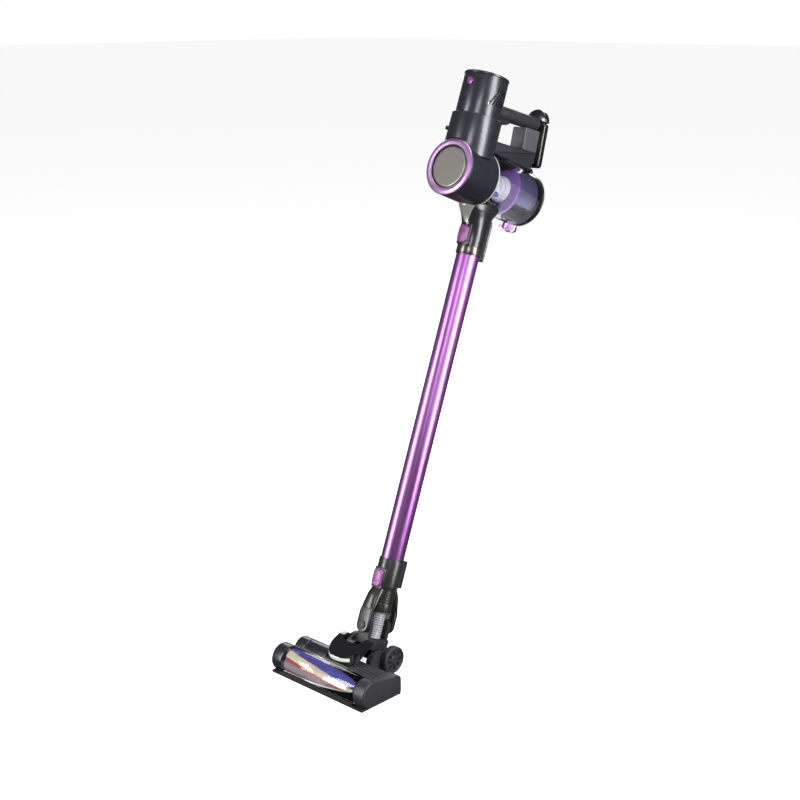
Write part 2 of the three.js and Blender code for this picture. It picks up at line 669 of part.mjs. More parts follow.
function mainHousing() {
  const boreRadius = BARREL_RADIUS - BARREL_WALL;
  const frontBore = -BARREL_FRONT + BARREL_WALL;
  const rearBore = -SEAM_FRONT - BULKHEAD;
  const shell = join(
    barrel(BARREL_RADIUS, -BARREL_FRONT, -SEAM_FRONT),
    tower(rod(TOWER_RADIUS, 0, LEDGE_Z, BIG_ROUND)),
  );
  const room = BARREL_WALL;
  const hollow = cut(
    barrel(boreRadius, frontBore, rearBore),
    box([-INLET_HALF - room, INLET_HALF + room], [-INLET_FRONT - room, 0],
      [-BARREL_RADIUS, -BARREL_RADIUS + INLET_RISE + room]),
  );
  return cut(
    shell,
    barrel(BARREL_RADIUS + GAP, -BARREL_FRONT - 40, -BARREL_FRONT),
    barrel(BARREL_RADIUS + PLAY, -SEAM_FRONT, 0),
    hollow,
    tower(rod(TOWER_BORE, BARREL_RADIUS + LEDGE, LEDGE_Z - LEDGE, BIG_ROUND)),
    tower(rod(HOUSING_RADIUS + GAP, LEDGE_Z - LEDGE - 1, LEDGE_Z + 1, BIG_ROUND)),
    tower(rod(TOWER_BORE - 14, 0, BARREL_RADIUS + LEDGE + 1)),
    barrel(CYCLONE_RADIUS - 8, rearBore - 1, -SEAM_FRONT + 1, ROUND),
    box([-INLET_HALF, INLET_HALF], [-INLET_FRONT, 0], [-BARREL_RADIUS - 1, -BARREL_RADIUS + INLET_RISE]),
    radialRod(KNOB_RADIUS + PLAY, TOWER_BORE - 3, TOWER_RADIUS + 3, KNOB_ANGLE, KNOB_Z),
  );
}

const sideKnob = () => radialRod(KNOB_RADIUS, TOWER_BORE - 2, TOWER_RADIUS + 5, KNOB_ANGLE, KNOB_Z);

const VENT_COUNT = 6;
const VENT_PITCH = 6.4;
const VENT_SLANT = THREE.MathUtils.degToRad(-24);
const VENT_Z = LEDGE_Z + 38;
const FRONT_ANGLE = -Math.PI / 2;                    // round the tower from +X
const POWER_BUTTON_RADIUS = 7.5;
const POWER_BUTTON_Z = HOUSING_TOP - 16.5;

// Slanting air slits through one side of the motor housing.
function ventSlits() {
  const slits = [];
  for (let i = 0; i < VENT_COUNT; i += 1) {
    const y = (i - (VENT_COUNT - 1) / 2) * VENT_PITCH;
    const slit = box([HOUSING_RADIUS / 2, HOUSING_RADIUS + 5], [-1.3, 1.3], [-19, 19]);
    slits.push(shifted(tipped(slit, VENT_SLANT), 0, y, 0));
  }
  const patch = box([0, HOUSING_RADIUS + 5], [-18, 18], [-20, 20]);
  return tower(shifted(common(join(...slits), patch), 0, 3, VENT_Z));
}

function motorHousing() {
  const inner = HOUSING_RADIUS - HOUSING_WALL;
  const shell = tube(HOUSING_RADIUS, inner, LEDGE_Z - HOUSING_TUCK, HOUSING_TOP, BIG_ROUND);
  const slits = ventSlits();
  const buttonHole = radialRod(
    POWER_BUTTON_RADIUS + PLAY, HOUSING_RADIUS - 6, HOUSING_RADIUS + 3, FRONT_ANGLE, POWER_BUTTON_Z);
  return cut(
    tower(shell),
    slits,
    mirrorX(slits),
    buttonHole,
  );
}

function motorCap() {
  const lip = HOUSING_RADIUS + CAP_LIP;
  const skirt = HOUSING_RADIUS - HOUSING_WALL - GAP;
  const base = HOUSING_TOP + GAP;
  const top = base + CAP_HEIGHT;
  const slots = [];
  for (let i = 0; i < CAP_SLOTS; i += 1) {
    const slot = box([14, 30], [-2, 2], [HOUSING_TOP - 9, top + 1]);
    slots.push(spun(slot, (2 * Math.PI * i) / CAP_SLOTS));
  }
  return cut(tower(turned([
    [0, base], [skirt - 2, base], [skirt - 2, HOUSING_TOP - 6], [skirt, HOUSING_TOP - 6],
    [skirt, base], [lip, base], [lip, top - 1], [lip - 1, top], [0, top],
  ])), tower(join(...slots)));
}

const FAN_Z = BARREL_RADIUS + LEDGE + 4;
const FAN_RADIUS = HOUSING_RADIUS - HOUSING_WALL - 3.5;
const MOTOR_BODY_RADIUS = HOUSING_RADIUS - HOUSING_WALL - 6.5;
const FILTER_RADIUS = HOUSING_RADIUS - HOUSING_WALL - 5.5;
const SHAFT_RADIUS = 3;
const MOTOR_BOTTOM = FAN_Z + 18;
const MOTOR_TOP = MOTOR_BOTTOM + 58;

function fanMotor() {
  const wide = MOTOR_BODY_RADIUS;
  return tower(turned([
    [0, FAN_Z - 3], [SHAFT_RADIUS, FAN_Z - 3], [SHAFT_RADIUS, MOTOR_BOTTOM], [wide - 7, MOTOR_BOTTOM],
    [wide, MOTOR_BOTTOM + 6], [wide, MOTOR_TOP - 6], [wide - 11, MOTOR_TOP], [0, MOTOR_TOP],
  ], ROUND));
}

function fanImpeller() {
  const blades = [];
  for (let i = 0; i < BLADE_COUNT; i += 1) {
    const blade = box([6, FAN_RADIUS - 1], [-0.9, 0.9], [0, 11]);
    blades.push(spun(blade, (2 * Math.PI * i) / BLADE_COUNT));
  }
  const disc = turned([
    [SHAFT_RADIUS + PLAY, -1], [FAN_RADIUS, -1], [FAN_RADIUS, 1.5], [9, 2.5], [7, 12],
    [SHAFT_RADIUS + PLAY, 12], [SHAFT_RADIUS + PLAY, -1],
  ], ROUND);
  const bore = rod(SHAFT_RADIUS + PLAY, -2, 14, ROUND);
  return tower(shifted(cut(join(disc, ...blades), bore), 0, 0, FAN_Z));
}

const BOARD_Z = MOTOR_TOP + 5;
const FILTER_BOTTOM = BOARD_Z + 6;
const FILTER_BORE = 12;
const FILTER_TOP = HOUSING_TOP - 8;

const powerButton = () => radialRod(
  POWER_BUTTON_RADIUS, HOUSING_RADIUS - 5, HOUSING_RADIUS + 2.6, FRONT_ANGLE, POWER_BUTTON_Z);

const exhaustFilter = () => tower(tube(FILTER_RADIUS, FILTER_BORE, FILTER_BOTTOM, FILTER_TOP, ROUND));

add(handheld, 'main_housing', mainHousing(), darkGloss);
add(handheld, 'side_knob', sideKnob(), darkMatte);
add(handheld, 'motor_housing', motorHousing(), darkGloss);
add(handheld, 'motor_cap', motorCap(), darkGloss);
add(handheld, 'power_button', powerButton(), purplePlastic);
add(handheld, 'fan_motor', fanMotor(), steel);
add(handheld, 'fan_impeller', fanImpeller(), darkMatte);
add(handheld, 'control_board', tower(box([-20, 20], [-22, 22], [BOARD_Z, BOARD_Z + 1.6])), boardGreen);
add(handheld, 'exhaust_filter', exhaustFilter(), filterCloth);

// ---- Front trim ------------------------------------------------------------------------------

function frontRing() {
  const face = RING_DEPTH + GAP;
  const inner = BARREL_RADIUS - RING_WIDTH;
  const profile = [
    [inner, GAP], [BARREL_RADIUS, GAP], [BARREL_RADIUS, 1.4], [BARREL_RADIUS - 1.5, 2.8],
    [BARREL_RADIUS - 7, face], [inner + 0.8, face - 0.4], [inner, face - 1.2], [inner, GAP],
  ];
  return shifted(facingFront(turned(profile, BIG_ROUND)), 0, -BARREL_FRONT, 0);
}

function frontDisc() {
  const radius = BARREL_RADIUS - RING_WIDTH - DISC_GROOVE;
  const profile = [[0, GAP], [radius, GAP], [radius, 1.6], [radius - 1.2, 2.4], [0, 3]];
  return shifted(facingFront(turned(profile, BIG_ROUND)), 0, -BARREL_FRONT, 0);
}

add(handheld, 'front_ring', frontRing(), purplePlastic);
add(handheld, 'front_disc', frontDisc(), satinMetal);

// ---- Dust cup, cyclone and lid ---------------------------------------------------------------

const CUP_BORE = BARREL_RADIUS - CUP_WALL;
const CUP_FRONT_Y = -SEAM_FRONT + GAP;
const HINGE_Y = CUP_REAR - 1.5;
const HINGE_Z = BARREL_RADIUS + HINGE_RISE;
const LUG_HALF = 5;
const KNUCKLE_HALF = 11;
const LATCH_REAR = CUP_REAR - 1.5;
const LATCH_FRONT = LATCH_REAR - LATCH_LENGTH;
const LATCH_TOP = -BARREL_RADIUS - 1.2;
const LATCH_PIVOT_Y = LATCH_FRONT + 6;
const LATCH_PIVOT_Z = LATCH_TOP - LATCH_DEPTH / 2;
const LATCH_LUG_HALF = 3;

function dustCup() {
  const hinge = join(
    shifted(alongX(rod(KNUCKLE_RADIUS, -LUG_HALF, LUG_HALF, SMALL_ROUND)), 0, HINGE_Y, HINGE_Z),
    shifted(alongX(rod(HINGE_PIN_RADIUS, -KNUCKLE_HALF, KNUCKLE_HALF, 12)), 0, HINGE_Y, HINGE_Z),
    box([-LUG_HALF, LUG_HALF], [HINGE_Y - 5, HINGE_Y + 1], [CUP_BORE + 0.5, HINGE_Z]),
  );
  const lugSpan = [-LATCH_LUG_HALF, LATCH_LUG_HALF];
  const latchLug = join(
    box(lugSpan, [LATCH_PIVOT_Y - 3, LATCH_PIVOT_Y + 3], [LATCH_PIVOT_Z, -CUP_BORE - 0.5]),
    shifted(alongX(rod(3, -LATCH_LUG_HALF, LATCH_LUG_HALF, 12)), 0, LATCH_PIVOT_Y, LATCH_PIVOT_Z),
  );
  return join(alongY(tube(BARREL_RADIUS, CUP_BORE, CUP_FRONT_Y, CUP_REAR, BIG_ROUND)), hinge, latchLug);
}

function binLid() {
  const front = CUP_REAR + GAP;
  const rear = CUP_REAR + GAP + LID_DEPTH;
  const disc = turned([
    [0, front], [BARREL_RADIUS, front], [BARREL_RADIUS, rear - 1.5], [BARREL_RADIUS - 2, rear], [0, rear],
  ], BIG_ROUND);
  const sides = [];
  for (const side of [-1, 1]) {
    const from = side * (LUG_HALF + PLAY);
    const to = side * (KNUCKLE_HALF);
    const span = [Math.min(from, to), Math.max(from, to)];
    sides.push(shifted(alongX(rod(KNUCKLE_RADIUS, span[0], span[1], SMALL_ROUND)), 0, HINGE_Y, HINGE_Z));
    sides.push(box(span, [front, rear - 1], [BARREL_RADIUS - 6, HINGE_Z - 1]));
    sides.push(box(span, [HINGE_Y, rear - 1], [BARREL_RADIUS + 2, HINGE_Z]));
  }
  const pinHole = shifted(
    alongX(rod(HINGE_PIN_RADIUS + PLAY, -KNUCKLE_HALF - 1, KNUCKLE_HALF + 1, 12)), 0, HINGE_Y, HINGE_Z);
  return cut(join(alongY(disc), ...sides), pinHole);
}

function binLatch() {
  const half = LATCH_WIDTH / 2;
  const low = LATCH_TOP - LATCH_DEPTH;
  const side = [
    [LATCH_FRONT, LATCH_TOP - 2], [LATCH_FRONT + 2, LATCH_TOP - 1], [LATCH_PIVOT_Y, LATCH_TOP],
    [LATCH_REAR, LATCH_TOP], [LATCH_REAR, low + 3], [LATCH_REAR - 4, low], [LATCH_FRONT + 4, low],
    [LATCH_FRONT, low + 4],
  ];
  const slot = LATCH_LUG_HALF + PLAY;
  return cut(
    sideways(side, -half, half),
    box([-slot, slot], [LATCH_PIVOT_Y - 4, LATCH_PIVOT_Y + 12], [low - 1, LATCH_TOP + 1]),
  );
}

// The screen is round above and flat below, where the dust settles, and open at the front.
function meshScreen() {
  const front = CYCLONE_REAR + CYCLONE_RING_DEPTH + 2 * GAP;
  const rear = front + SCREEN_LENGTH;
  const across = [-BARREL_RADIUS, BARREL_RADIUS];
  const roundAbove = (radius, from, to, floor) => cut(
    alongY(rod(radius, from, to, BIG_ROUND)),
    box(across, [from - 1, to + 1], [-BARREL_RADIUS, floor]),
  );
  return cut(
    roundAbove(SCREEN_RADIUS, front, rear, -SCREEN_FLOOR),
    roundAbove(SCREEN_RADIUS - SCREEN_WALL, front - 1, rear - SCREEN_WALL, -SCREEN_FLOOR + SCREEN_WALL),
  );
}

function cycloneRing() {
  const front = CYCLONE_REAR + GAP;
  return alongY(tube(CUP_BORE - 0.9, CYCLONE_RADIUS - 4, front, front + CYCLONE_RING_DEPTH));
}

// The stub that lets the dirty air into the cup, low on the left side, with a rounded end.
function inletDuct() {
  const outer = CUP_BORE - SEAL_THICKNESS - PLAY;
  const radius = (outer - CYCLONE_RADIUS) / 2 - GAP;
  const away = (outer + CYCLONE_RADIUS) / 2;
  const stub = alongY(turned([
    [0, -SEAM_FRONT + GAP], [radius, -SEAM_FRONT + GAP], [radius, -6], [radius * 0.7, -2], [0, 0],
  ], SMALL_ROUND));
  return shifted(stub, away * Math.cos(Math.PI / 6), 0, -away * Math.sin(Math.PI / 6));
}

function cupSeal() {
  const front = CUP_FRONT_Y + GAP;
  return alongY(tube(CUP_BORE - GAP, CUP_BORE - SEAL_THICKNESS, front, CUP_FRONT_Y + SEAL_DEPTH));
}

add(handheld, 'dust_cup', dustCup(), smokyClear);
add(handheld, 'cup_seal', cupSeal(), rubber);
add(handheld, 'bin_lid', binLid(), blackGloss);
add(handheld, 'bin_latch', binLatch(), purplePlastic);
add(handheld, 'cyclone_body',
  alongY(tube(CYCLONE_RADIUS, CYCLONE_RADIUS - 2, CUP_FRONT_Y, CYCLONE_REAR)), paleClear);
add(handheld, 'cyclone_ring', cycloneRing(), purplePlastic);
add(handheld, 'mesh_screen', meshScreen(), darkGloss);
add(handheld, 'inlet_duct', inletDuct(), purplePlastic);

// ---- Handle and battery: frame on the grip's axis --------------------------------------------

const ARM_TOP = -GRIP_RADIUS - FINGER_GAP_HEIGHT;
const BLOCK_TOP = -GRIP_RADIUS - PLAY;
const COVER_FRONT = GRIP_REAR + 0.5;
const CASE_HALF = CELL_RADIUS + CELL_SIDE_ROOM + GAP + CASE_WALL;
const BLOCK_HALF = CASE_HALF + PLAY + BLOCK_WALL;
const CASE_FRONT = BLOCK_FRONT + BLOCK_WALL + PLAY;
const CASE_TOP = BLOCK_TOP - BLOCK_WALL - PLAY;
const CELL_PITCH = 2 * CELL_RADIUS + GAP;
const CASE_BOTTOM = CASE_TOP - 2 * CASE_WALL - CELL_COUNT * CELL_PITCH - GAP;
const COVER_BOTTOM = CASE_BOTTOM - COVER_BORDER;
const TRIGGER_REAR = TRIGGER_LENGTH / 2;

// Taller cells lift the grip, so that the battery's cover stays clear of the dust cup.
const GRIP_Z = BARREL_RADIUS - COVER_BOTTOM - COVER_DIP;

const handle = new THREE.Group();
handle.position.z = GRIP_Z;
handle.rotation.x = HANDLE_TILT;
handheld.add(handle);

// Solids of the handheld frame, seen from the handle's frame.
const inHandle = (solid) => tipped(shifted(solid, 0, 0, -GRIP_Z), -HANDLE_TILT);

function gripShell(side) {
  const whole = alongY(tube(GRIP_RADIUS, GRIP_RADIUS - GRIP_WALL, -TOWER_FRONT, GRIP_REAR, ROUND));
  const half = side < 0 ? [-2 * GRIP_RADIUS, -GAP / 2] : [GAP / 2, 2 * GRIP_RADIUS];
  const slot = TRIGGER_WIDTH / 2 + PLAY;
  return cut(
    common(whole, box(half, [-TOWER_FRONT, GRIP_REAR], [-2 * GRIP_RADIUS, 2 * GRIP_RADIUS])),
    inHandle(tower(rod(HOUSING_RADIUS + GAP, 0, HOUSING_TOP, BIG_ROUND))),
    box([-slot, slot], [-TRIGGER_REAR - PLAY, TRIGGER_REAR + PLAY], [-2 * GRIP_RADIUS, -GRIP_RADIUS / 3]),
  );
}

function trigger() {
  const low = -GRIP_RADIUS - 7;
  const side = [
    [-TRIGGER_REAR, low + 5], [-TRIGGER_REAR + 5, low], [TRIGGER_REAR - 9, low],
    [TRIGGER_REAR, low + 4], [TRIGGER_REAR, low + TRIGGER_DEPTH], [-TRIGGER_REAR, low + TRIGGER_DEPTH],
  ];
  return sideways(side, -TRIGGER_WIDTH / 2, TRIGGER_WIDTH / 2);
}

function casePocket() {
  const half = CASE_HALF + PLAY;
  return box([-half, half], [CASE_FRONT - PLAY, COVER_FRONT + 30], [CASE_BOTTOM - PLAY, CASE_TOP + PLAY]);
}

function baseArm() {
  const bottom = BARREL_RADIUS + 0.9;
  const front = -TOWER_FRONT;
  const tilt = Math.tan(HANDLE_TILT);
  const drop = ARM_TOP / Math.cos(HANDLE_TILT);
  const rearTop = GRIP_REAR * Math.cos(HANDLE_TILT) - ARM_TOP * Math.sin(HANDLE_TILT);
  const side = [
    [front, bottom], [CUP_REAR - 13, bottom], [rearTop, GRIP_Z + drop + rearTop * tilt],
    [front, GRIP_Z + drop + front * tilt],
  ];
  const half = BLOCK_HALF + ARM_LIP;
  const arm = cut(sideways(side, -half, half), tower(rod(TOWER_RADIUS + GAP, 0, GRIP_Z, BIG_ROUND)));
  return cut(inHandle(arm), casePocket());
}

function batteryHousing() {
  const block = box([-BLOCK_HALF, BLOCK_HALF], [BLOCK_FRONT, GRIP_REAR], [ARM_TOP + GAP, BLOCK_TOP]);
  return cut(block, casePocket());
}

function batteryCase() {
  const outer = box([-CASE_HALF, CASE_HALF], [CASE_FRONT, COVER_FRONT - GAP], [CASE_BOTTOM, CASE_TOP]);
  const inner = box(
    [-CASE_HALF + CASE_WALL, CASE_HALF - CASE_WALL], [CASE_FRONT + CASE_WALL, COVER_FRONT + 1],
    [CASE_BOTTOM + CASE_WALL, CASE_TOP - CASE_WALL]);
  return cut(outer, inner);
}

// The battery's rear cover: an upright slab with a round top.
function batteryCover() {
  const half = COVER_WIDTH / 2;
  const topCentre = GRIP_RADIUS + 16.6 - half;
  const outline = new THREE.Shape();
  outline.moveTo(half, topCentre);
  outline.absarc(0, topCentre, half, 0, Math.PI, false);
  const cornerZ = COVER_BOTTOM + COVER_CORNER;
  const down = 1.5 * Math.PI;
  outline.lineTo(-half, cornerZ);
  outline.absarc(-half + COVER_CORNER, cornerZ, COVER_CORNER, Math.PI, down, false);
  outline.lineTo(half - COVER_CORNER, COVER_BOTTOM);
  outline.absarc(half - COVER_CORNER, cornerZ, COVER_CORNER, down, 2 * Math.PI, false);
  outline.closePath();
  const slab = facingFront(extruded(outline, -COVER_FRONT - COVER_DEPTH, -COVER_FRONT, 10));
  const pocket = box(
    [-CASE_HALF + CASE_WALL, CASE_HALF - CASE_WALL],
    [COVER_FRONT - 1, CASE_FRONT + CASE_WALL + 2 * GAP + CELL_LENGTH + 1],
    [CASE_BOTTOM + CASE_WALL, CASE_TOP - CASE_WALL]);
  return cut(slab, pocket);
}

function batteryCell(row) {
  const z = CASE_TOP - CASE_WALL - GAP - CELL_RADIUS - row * CELL_PITCH;
  const front = CASE_FRONT + CASE_WALL + GAP;
  return shifted(alongY(rod(CELL_RADIUS, front, front + CELL_LENGTH, SMALL_ROUND)), 0, 0, z);
}

add(handle, 'grip_shell_left', gripShell(1), darkMatte);
add(handle, 'grip_shell_right', gripShell(-1), darkMatte);
add(handle, 'trigger', trigger(), darkMatte);
add(handle, 'base_arm', baseArm(), darkMatte);
add(handle, 'battery_housing', batteryHousing(), darkMatte);
add(handle, 'battery_case', batteryCase(), darkMatte);
add(handle, 'battery_cover', batteryCover(), blackGloss);
for (let row = 0; row < CELL_COUNT; row += 1) {
  add(handle, `battery_cell_${row + 1}`, batteryCell(row), cellWrap);
}

// ---- Floor head ------------------------------------------------------------------------------

const HEAD_HALF = HEAD_WIDTH / 2;
const INNER_HALF = HEAD_HALF - END_CAP_WIDTH;
const WINDOW_HALF = INNER_HALF - GAP;
const HEAD_FRONT = -HEAD_DEPTH / 2;
const HEAD_REAR = HEAD_DEPTH / 2;
const COVER_BASE = SOLE_THICKNESS + GAP;
const MOTOR_Z = COVER_BASE + MOTOR_HOUSING_RADIUS - MOTOR_SINK;
const NOZZLE_HALF_DEPTH = 15;
const WEB_REACH = 16;            // of the belt cover's flat web, past both shafts and above them
const BELT_X = -HEAD_HALF + 13;
const BELT_HALF = 3;
const atBrush = (solid) => shifted(solid, 0, BRUSH_Y, BRUSH_Z);
const atMotor = (solid) => shifted(solid, 0, MOTOR_Y, MOTOR_Z);
const atAxle = (solid) => shifted(solid, 0, AXLE_Y, AXLE_Z);
const crossRod = (radius, from, to, sides) => alongX(rod(radius, from, to, sides));

// The sole, with the brush's opening, and two arms at the rear that carry the elbow and the wheels.
function solePlate() {
  const half = HEAD_HALF - 2;
  const plate = box([-half, half], [HEAD_FRONT + 1, HEAD_REAR], [0, SOLE_THICKNESS]);
  const nozzleDepth = [BRUSH_Y - NOZZLE_HALF_DEPTH, BRUSH_Y + NOZZLE_HALF_DEPTH];
  const nozzle = box([-INNER_HALF + 2, INNER_HALF - 2], nozzleDepth, [-1, SOLE_THICKNESS + 1]);
  const start = HEAD_REAR + 0.8;
  const armSide = [
    [HEAD_REAR - 6, 0], [start + 8, 0], [AXLE_Y - 12, 9], [AXLE_Y, AXLE_Z - 10], [AXLE_Y, AXLE_Z + 15],
    [AXLE_Y - 16, AXLE_Z + 18], [start + 8, AXLE_Z + 18], [start, AXLE_Z + 10], [start, SOLE_THICKNESS],
    [HEAD_REAR - 6, SOLE_THICKNESS],
  ];
  const arm = join(
    sideways(armSide, CHEEK_INNER, CHEEK_OUTER),
    atAxle(crossRod(BARREL_JOINT_RADIUS, CHEEK_INNER, CHEEK_OUTER, ROUND)),
    atAxle(crossRod(WHEEL_STUB_RADIUS, CHEEK_OUTER - 1, CHEEK_OUTER + WHEEL_WIDTH, SMALL_ROUND)),
  );
  const seat = atAxle(crossRod(TRUNNION_RADIUS + PLAY, CHEEK_INNER - 1, CHEEK_OUTER - 3 + PLAY, SMALL_ROUND));
  const armWithSeat = cut(arm, seat);
  return join(cut(plate, nozzle), armWithSeat, mirrorX(armWithSeat));
}

// A closed outline round two circles of the side plane, as for a belt.
function beltOutline(front, rear) {
  const distance = Math.hypot(rear.y - front.y, rear.z - front.z);
  const heading = Math.atan2(rear.z - front.z, rear.y - front.y);
  const spread = Math.acos((front.radius - rear.radius) / distance);
  const shape = new THREE.Shape();
  shape.absarc(front.y, front.z, front.radius, heading + spread, heading - spread + 2 * Math.PI, false);
  shape.absarc(rear.y, rear.z, rear.radius, heading - spread, heading + spread, false);
  shape.closePath();
  return shape;
}

const aroundPulleys = (grow) => beltOutline(
  { y: BRUSH_Y, z: BRUSH_Z, radius: BRUSH_PULLEY_RADIUS + grow },
  { y: MOTOR_Y, z: MOTOR_Z, radius: MOTOR_PULLEY_RADIUS + grow },
);

function driveBelt() {
  return cut(
    sideways(aroundPulleys(GAP + BELT_THICKNESS), BELT_X - BELT_HALF, BELT_X + BELT_HALF),
    sideways(aroundPulleys(GAP), BELT_X - BELT_HALF - 1, BELT_X + BELT_HALF + 1),
  );
}

// The right end cap: a round over the brush's drive end, a smaller round over the motor's end.
function beltCoverForm(shrink, from, to) {
  const brushRound = atBrush(crossRod(WINDOW_RADIUS + 0.2 - shrink, from, to, ROUND));
  const motorRound = atMotor(crossRod(MOTOR_HOUSING_RADIUS - shrink, from, to, ROUND));
  const reach = WEB_REACH - shrink;
  const web = box([from, to], [BRUSH_Y - reach, MOTOR_Y + reach], [COVER_BASE, MOTOR_Z + reach]);
  const below = box([-HEAD_WIDTH, HEAD_WIDTH], [-HEAD_DEPTH, HEAD_DEPTH], [-HEAD_DEPTH, COVER_BASE]);
  return cut(join(brushRound, motorRound, web), below);
}

function beltCover() {
  return cut(
    beltCoverForm(0, -HEAD_HALF, -INNER_HALF),
    beltCoverForm(CAP_WALL, -HEAD_HALF + CAP_WALL, -INNER_HALF + 1),
  );
}

// The left end cap's outline: round at the front, its top sloping down to a rounded rear corner.
function sideCapOutline(shrink) {
  const radius = WINDOW_RADIUS + 0.2 - shrink;
  const corner = 10 - shrink;
  const rear = HEAD_REAR - shrink;
  const cornerZ = BRUSH_Z + 6;
  const shape = new THREE.Shape();
  shape.moveTo(rear, COVER_BASE);
  shape.lineTo(rear, cornerZ);
  shape.absarc(rear - corner, cornerZ, corner, 0, Math.PI / 2 - 0.15, false);
  shape.absarc(BRUSH_Y, BRUSH_Z, radius, Math.PI / 2 - 0.15, Math.PI + 0.7, false);
  shape.lineTo(BRUSH_Y - 10, COVER_BASE);
  shape.closePath();
  return shape;
}

function sideCap() {
  return cut(
    sideways(sideCapOutline(0), INNER_HALF, HEAD_HALF),
    sideways(sideCapOutline(CAP_WALL), INNER_HALF + CAP_WALL, HEAD_HALF - CAP_WALL),
    atBrush(crossRod(BEARING_RADIUS + GAP, INNER_HALF - 1, INNER_HALF + CAP_WALL + 1)),
  );
}

// The clear window over the brush, an arc about the brush's axis.
function brushWindow() {
  const low = Math.PI + 0.56;
  const high = THREE.MathUtils.degToRad(70);
  const shape = new THREE.Shape();
  shape.absarc(BRUSH_Y, BRUSH_Z, WINDOW_RADIUS, high, low, false);
  shape.absarc(BRUSH_Y, BRUSH_Z, WINDOW_RADIUS - WINDOW_WALL, low, high, true);
  shape.closePath();
  return sideways(shape, -WINDOW_HALF, WINDOW_HALF);
}

const DECK_FRONT_Y = BRUSH_Y + WINDOW_RADIUS * Math.cos(THREE.MathUtils.degToRad(70)) + 0.6;
const DECK_FRONT_Z = BRUSH_Z + WINDOW_RADIUS * Math.sin(THREE.MathUtils.degToRad(70));

function deckOutline(shrink) {
  const front = DECK_FRONT_Y + shrink;
  const rear = HEAD_REAR - shrink;
  const crest = DECK_FRONT_Z - shrink;
  const flat = DECK_HEIGHT - shrink;
  return [
    [front, COVER_BASE], [front, crest], [front + 7 - shrink, crest - 1.5],
    [front + 22 - shrink, flat], [rear - 5, flat], [rear, flat - 5], [rear, COVER_BASE],
  ];
}

// The top cover behind the window. On the right it ends in front of the brush motor's housing.
function deck() {
  const whole = sideways(deckOutline(0), -WINDOW_HALF, WINDOW_HALF);
  const round = (radius) => atBrush(crossRod(radius, -HEAD_HALF, HEAD_HALF, BIG_ROUND));
  const chamber = round(WINDOW_RADIUS - WINDOW_WALL);
  const chamberWall = round(WINDOW_RADIUS - WINDOW_WALL + DECK_WALL);
  const hollow = cut(sideways(deckOutline(DECK_WALL), -WINDOW_HALF - 1, WINDOW_HALF + 1), chamberWall);
  const motorBay = [
    atMotor(crossRod(MOTOR_HOUSING_RADIUS + PLAY, -HEAD_HALF, MOTOR_HOUSING_END + PLAY, ROUND)),
    box([-HEAD_HALF, MOTOR_HOUSING_END + PLAY], [MOTOR_Y, HEAD_REAR + 1], [0, HEAD_HALF]),
  ];
  const airway = box([-18, 18], [HEAD_REAR - 10, HEAD_REAR + 1], [9, 27]);
  return cut(whole, chamber, hollow, ...motorBay, airway);
}

function brushMotorHousing() {
  const shell = cut(
    crossRod(MOTOR_HOUSING_RADIUS, -WINDOW_HALF, MOTOR_HOUSING_END, ROUND),
    crossRod(MOTOR_HOUSING_RADIUS - CAP_WALL, -WINDOW_HALF - 1, MOTOR_HOUSING_END - CAP_WALL, ROUND),
  );
  return cut(atMotor(shell), box([-HEAD_WIDTH, 0], [-HEAD_DEPTH, HEAD_DEPTH], [-HEAD_DEPTH, COVER_BASE]));
}

function brushMotor() {
  const radius = MOTOR_HOUSING_RADIUS - CAP_WALL - MOTOR_ROOM;
  const body = crossRod(radius, -WINDOW_HALF + 4, MOTOR_HOUSING_END - 6, ROUND);
  const shaft = crossRod(2.5, BELT_X - BELT_HALF - 3, -WINDOW_HALF + 5, 12);
  return atMotor(join(body, shaft));
}

function motorPulley() {
  const length = BELT_HALF + 1;
  const wheel = crossRod(MOTOR_PULLEY_RADIUS, BELT_X - length, BELT_X + length, ROUND);
  return atMotor(cut(wheel, crossRod(2.5 + PLAY, BELT_X - length - 1, BELT_X + length + 1, 12)));
}

function brushRoll() {
  const length = BELT_HALF + 1;
  return atBrush(join(
    crossRod(BRUSH_CORE_RADIUS, -WINDOW_HALF + 2, WINDOW_HALF - 2, ROUND),
    crossRod(BRUSH_AXLE_RADIUS, -HEAD_HALF + CAP_WALL + 2, INNER_HALF + BEARING_WIDTH - 1, SMALL_ROUND),
    crossRod(BRUSH_PULLEY_RADIUS, BELT_X - length, BELT_X + length, ROUND),
  ));
}

// One helical row of bristles round the brush's core.
function bristleStrip() {
  const steps = 26;
  const half = WINDOW_HALF - 5;
  const rings = [];
  for (let i = 0; i <= steps; i += 1) {
    const x = -half + (2 * half * i) / steps;
    const angle = (1.5 * Math.PI * i) / steps;
    const out = new THREE.Vector3(0, Math.cos(angle), Math.sin(angle));
    const side = new THREE.Vector3(0, -Math.sin(angle), Math.cos(angle));
    const corner = (radius, offset) => new THREE.Vector3(x, BRUSH_Y, BRUSH_Z)
      .addScaledVector(out, radius)
      .addScaledVector(side, offset);
    const root = BRUSH_CORE_RADIUS + GAP;
    const tip = BRISTLE_RADIUS - 0.2;
    rings.push([corner(root, -3), corner(tip, -2), corner(tip, 2), corner(root, 3)]);
  }
  return lofted(rings);
}

function brushBearing() {
  return atBrush(cut(
    crossRod(BEARING_RADIUS, INNER_HALF - GAP, INNER_HALF + BEARING_WIDTH, ROUND),
    crossRod(BRUSH_AXLE_RADIUS + PLAY, INNER_HALF - 1, HEAD_HALF, SMALL_ROUND),
  ));
}

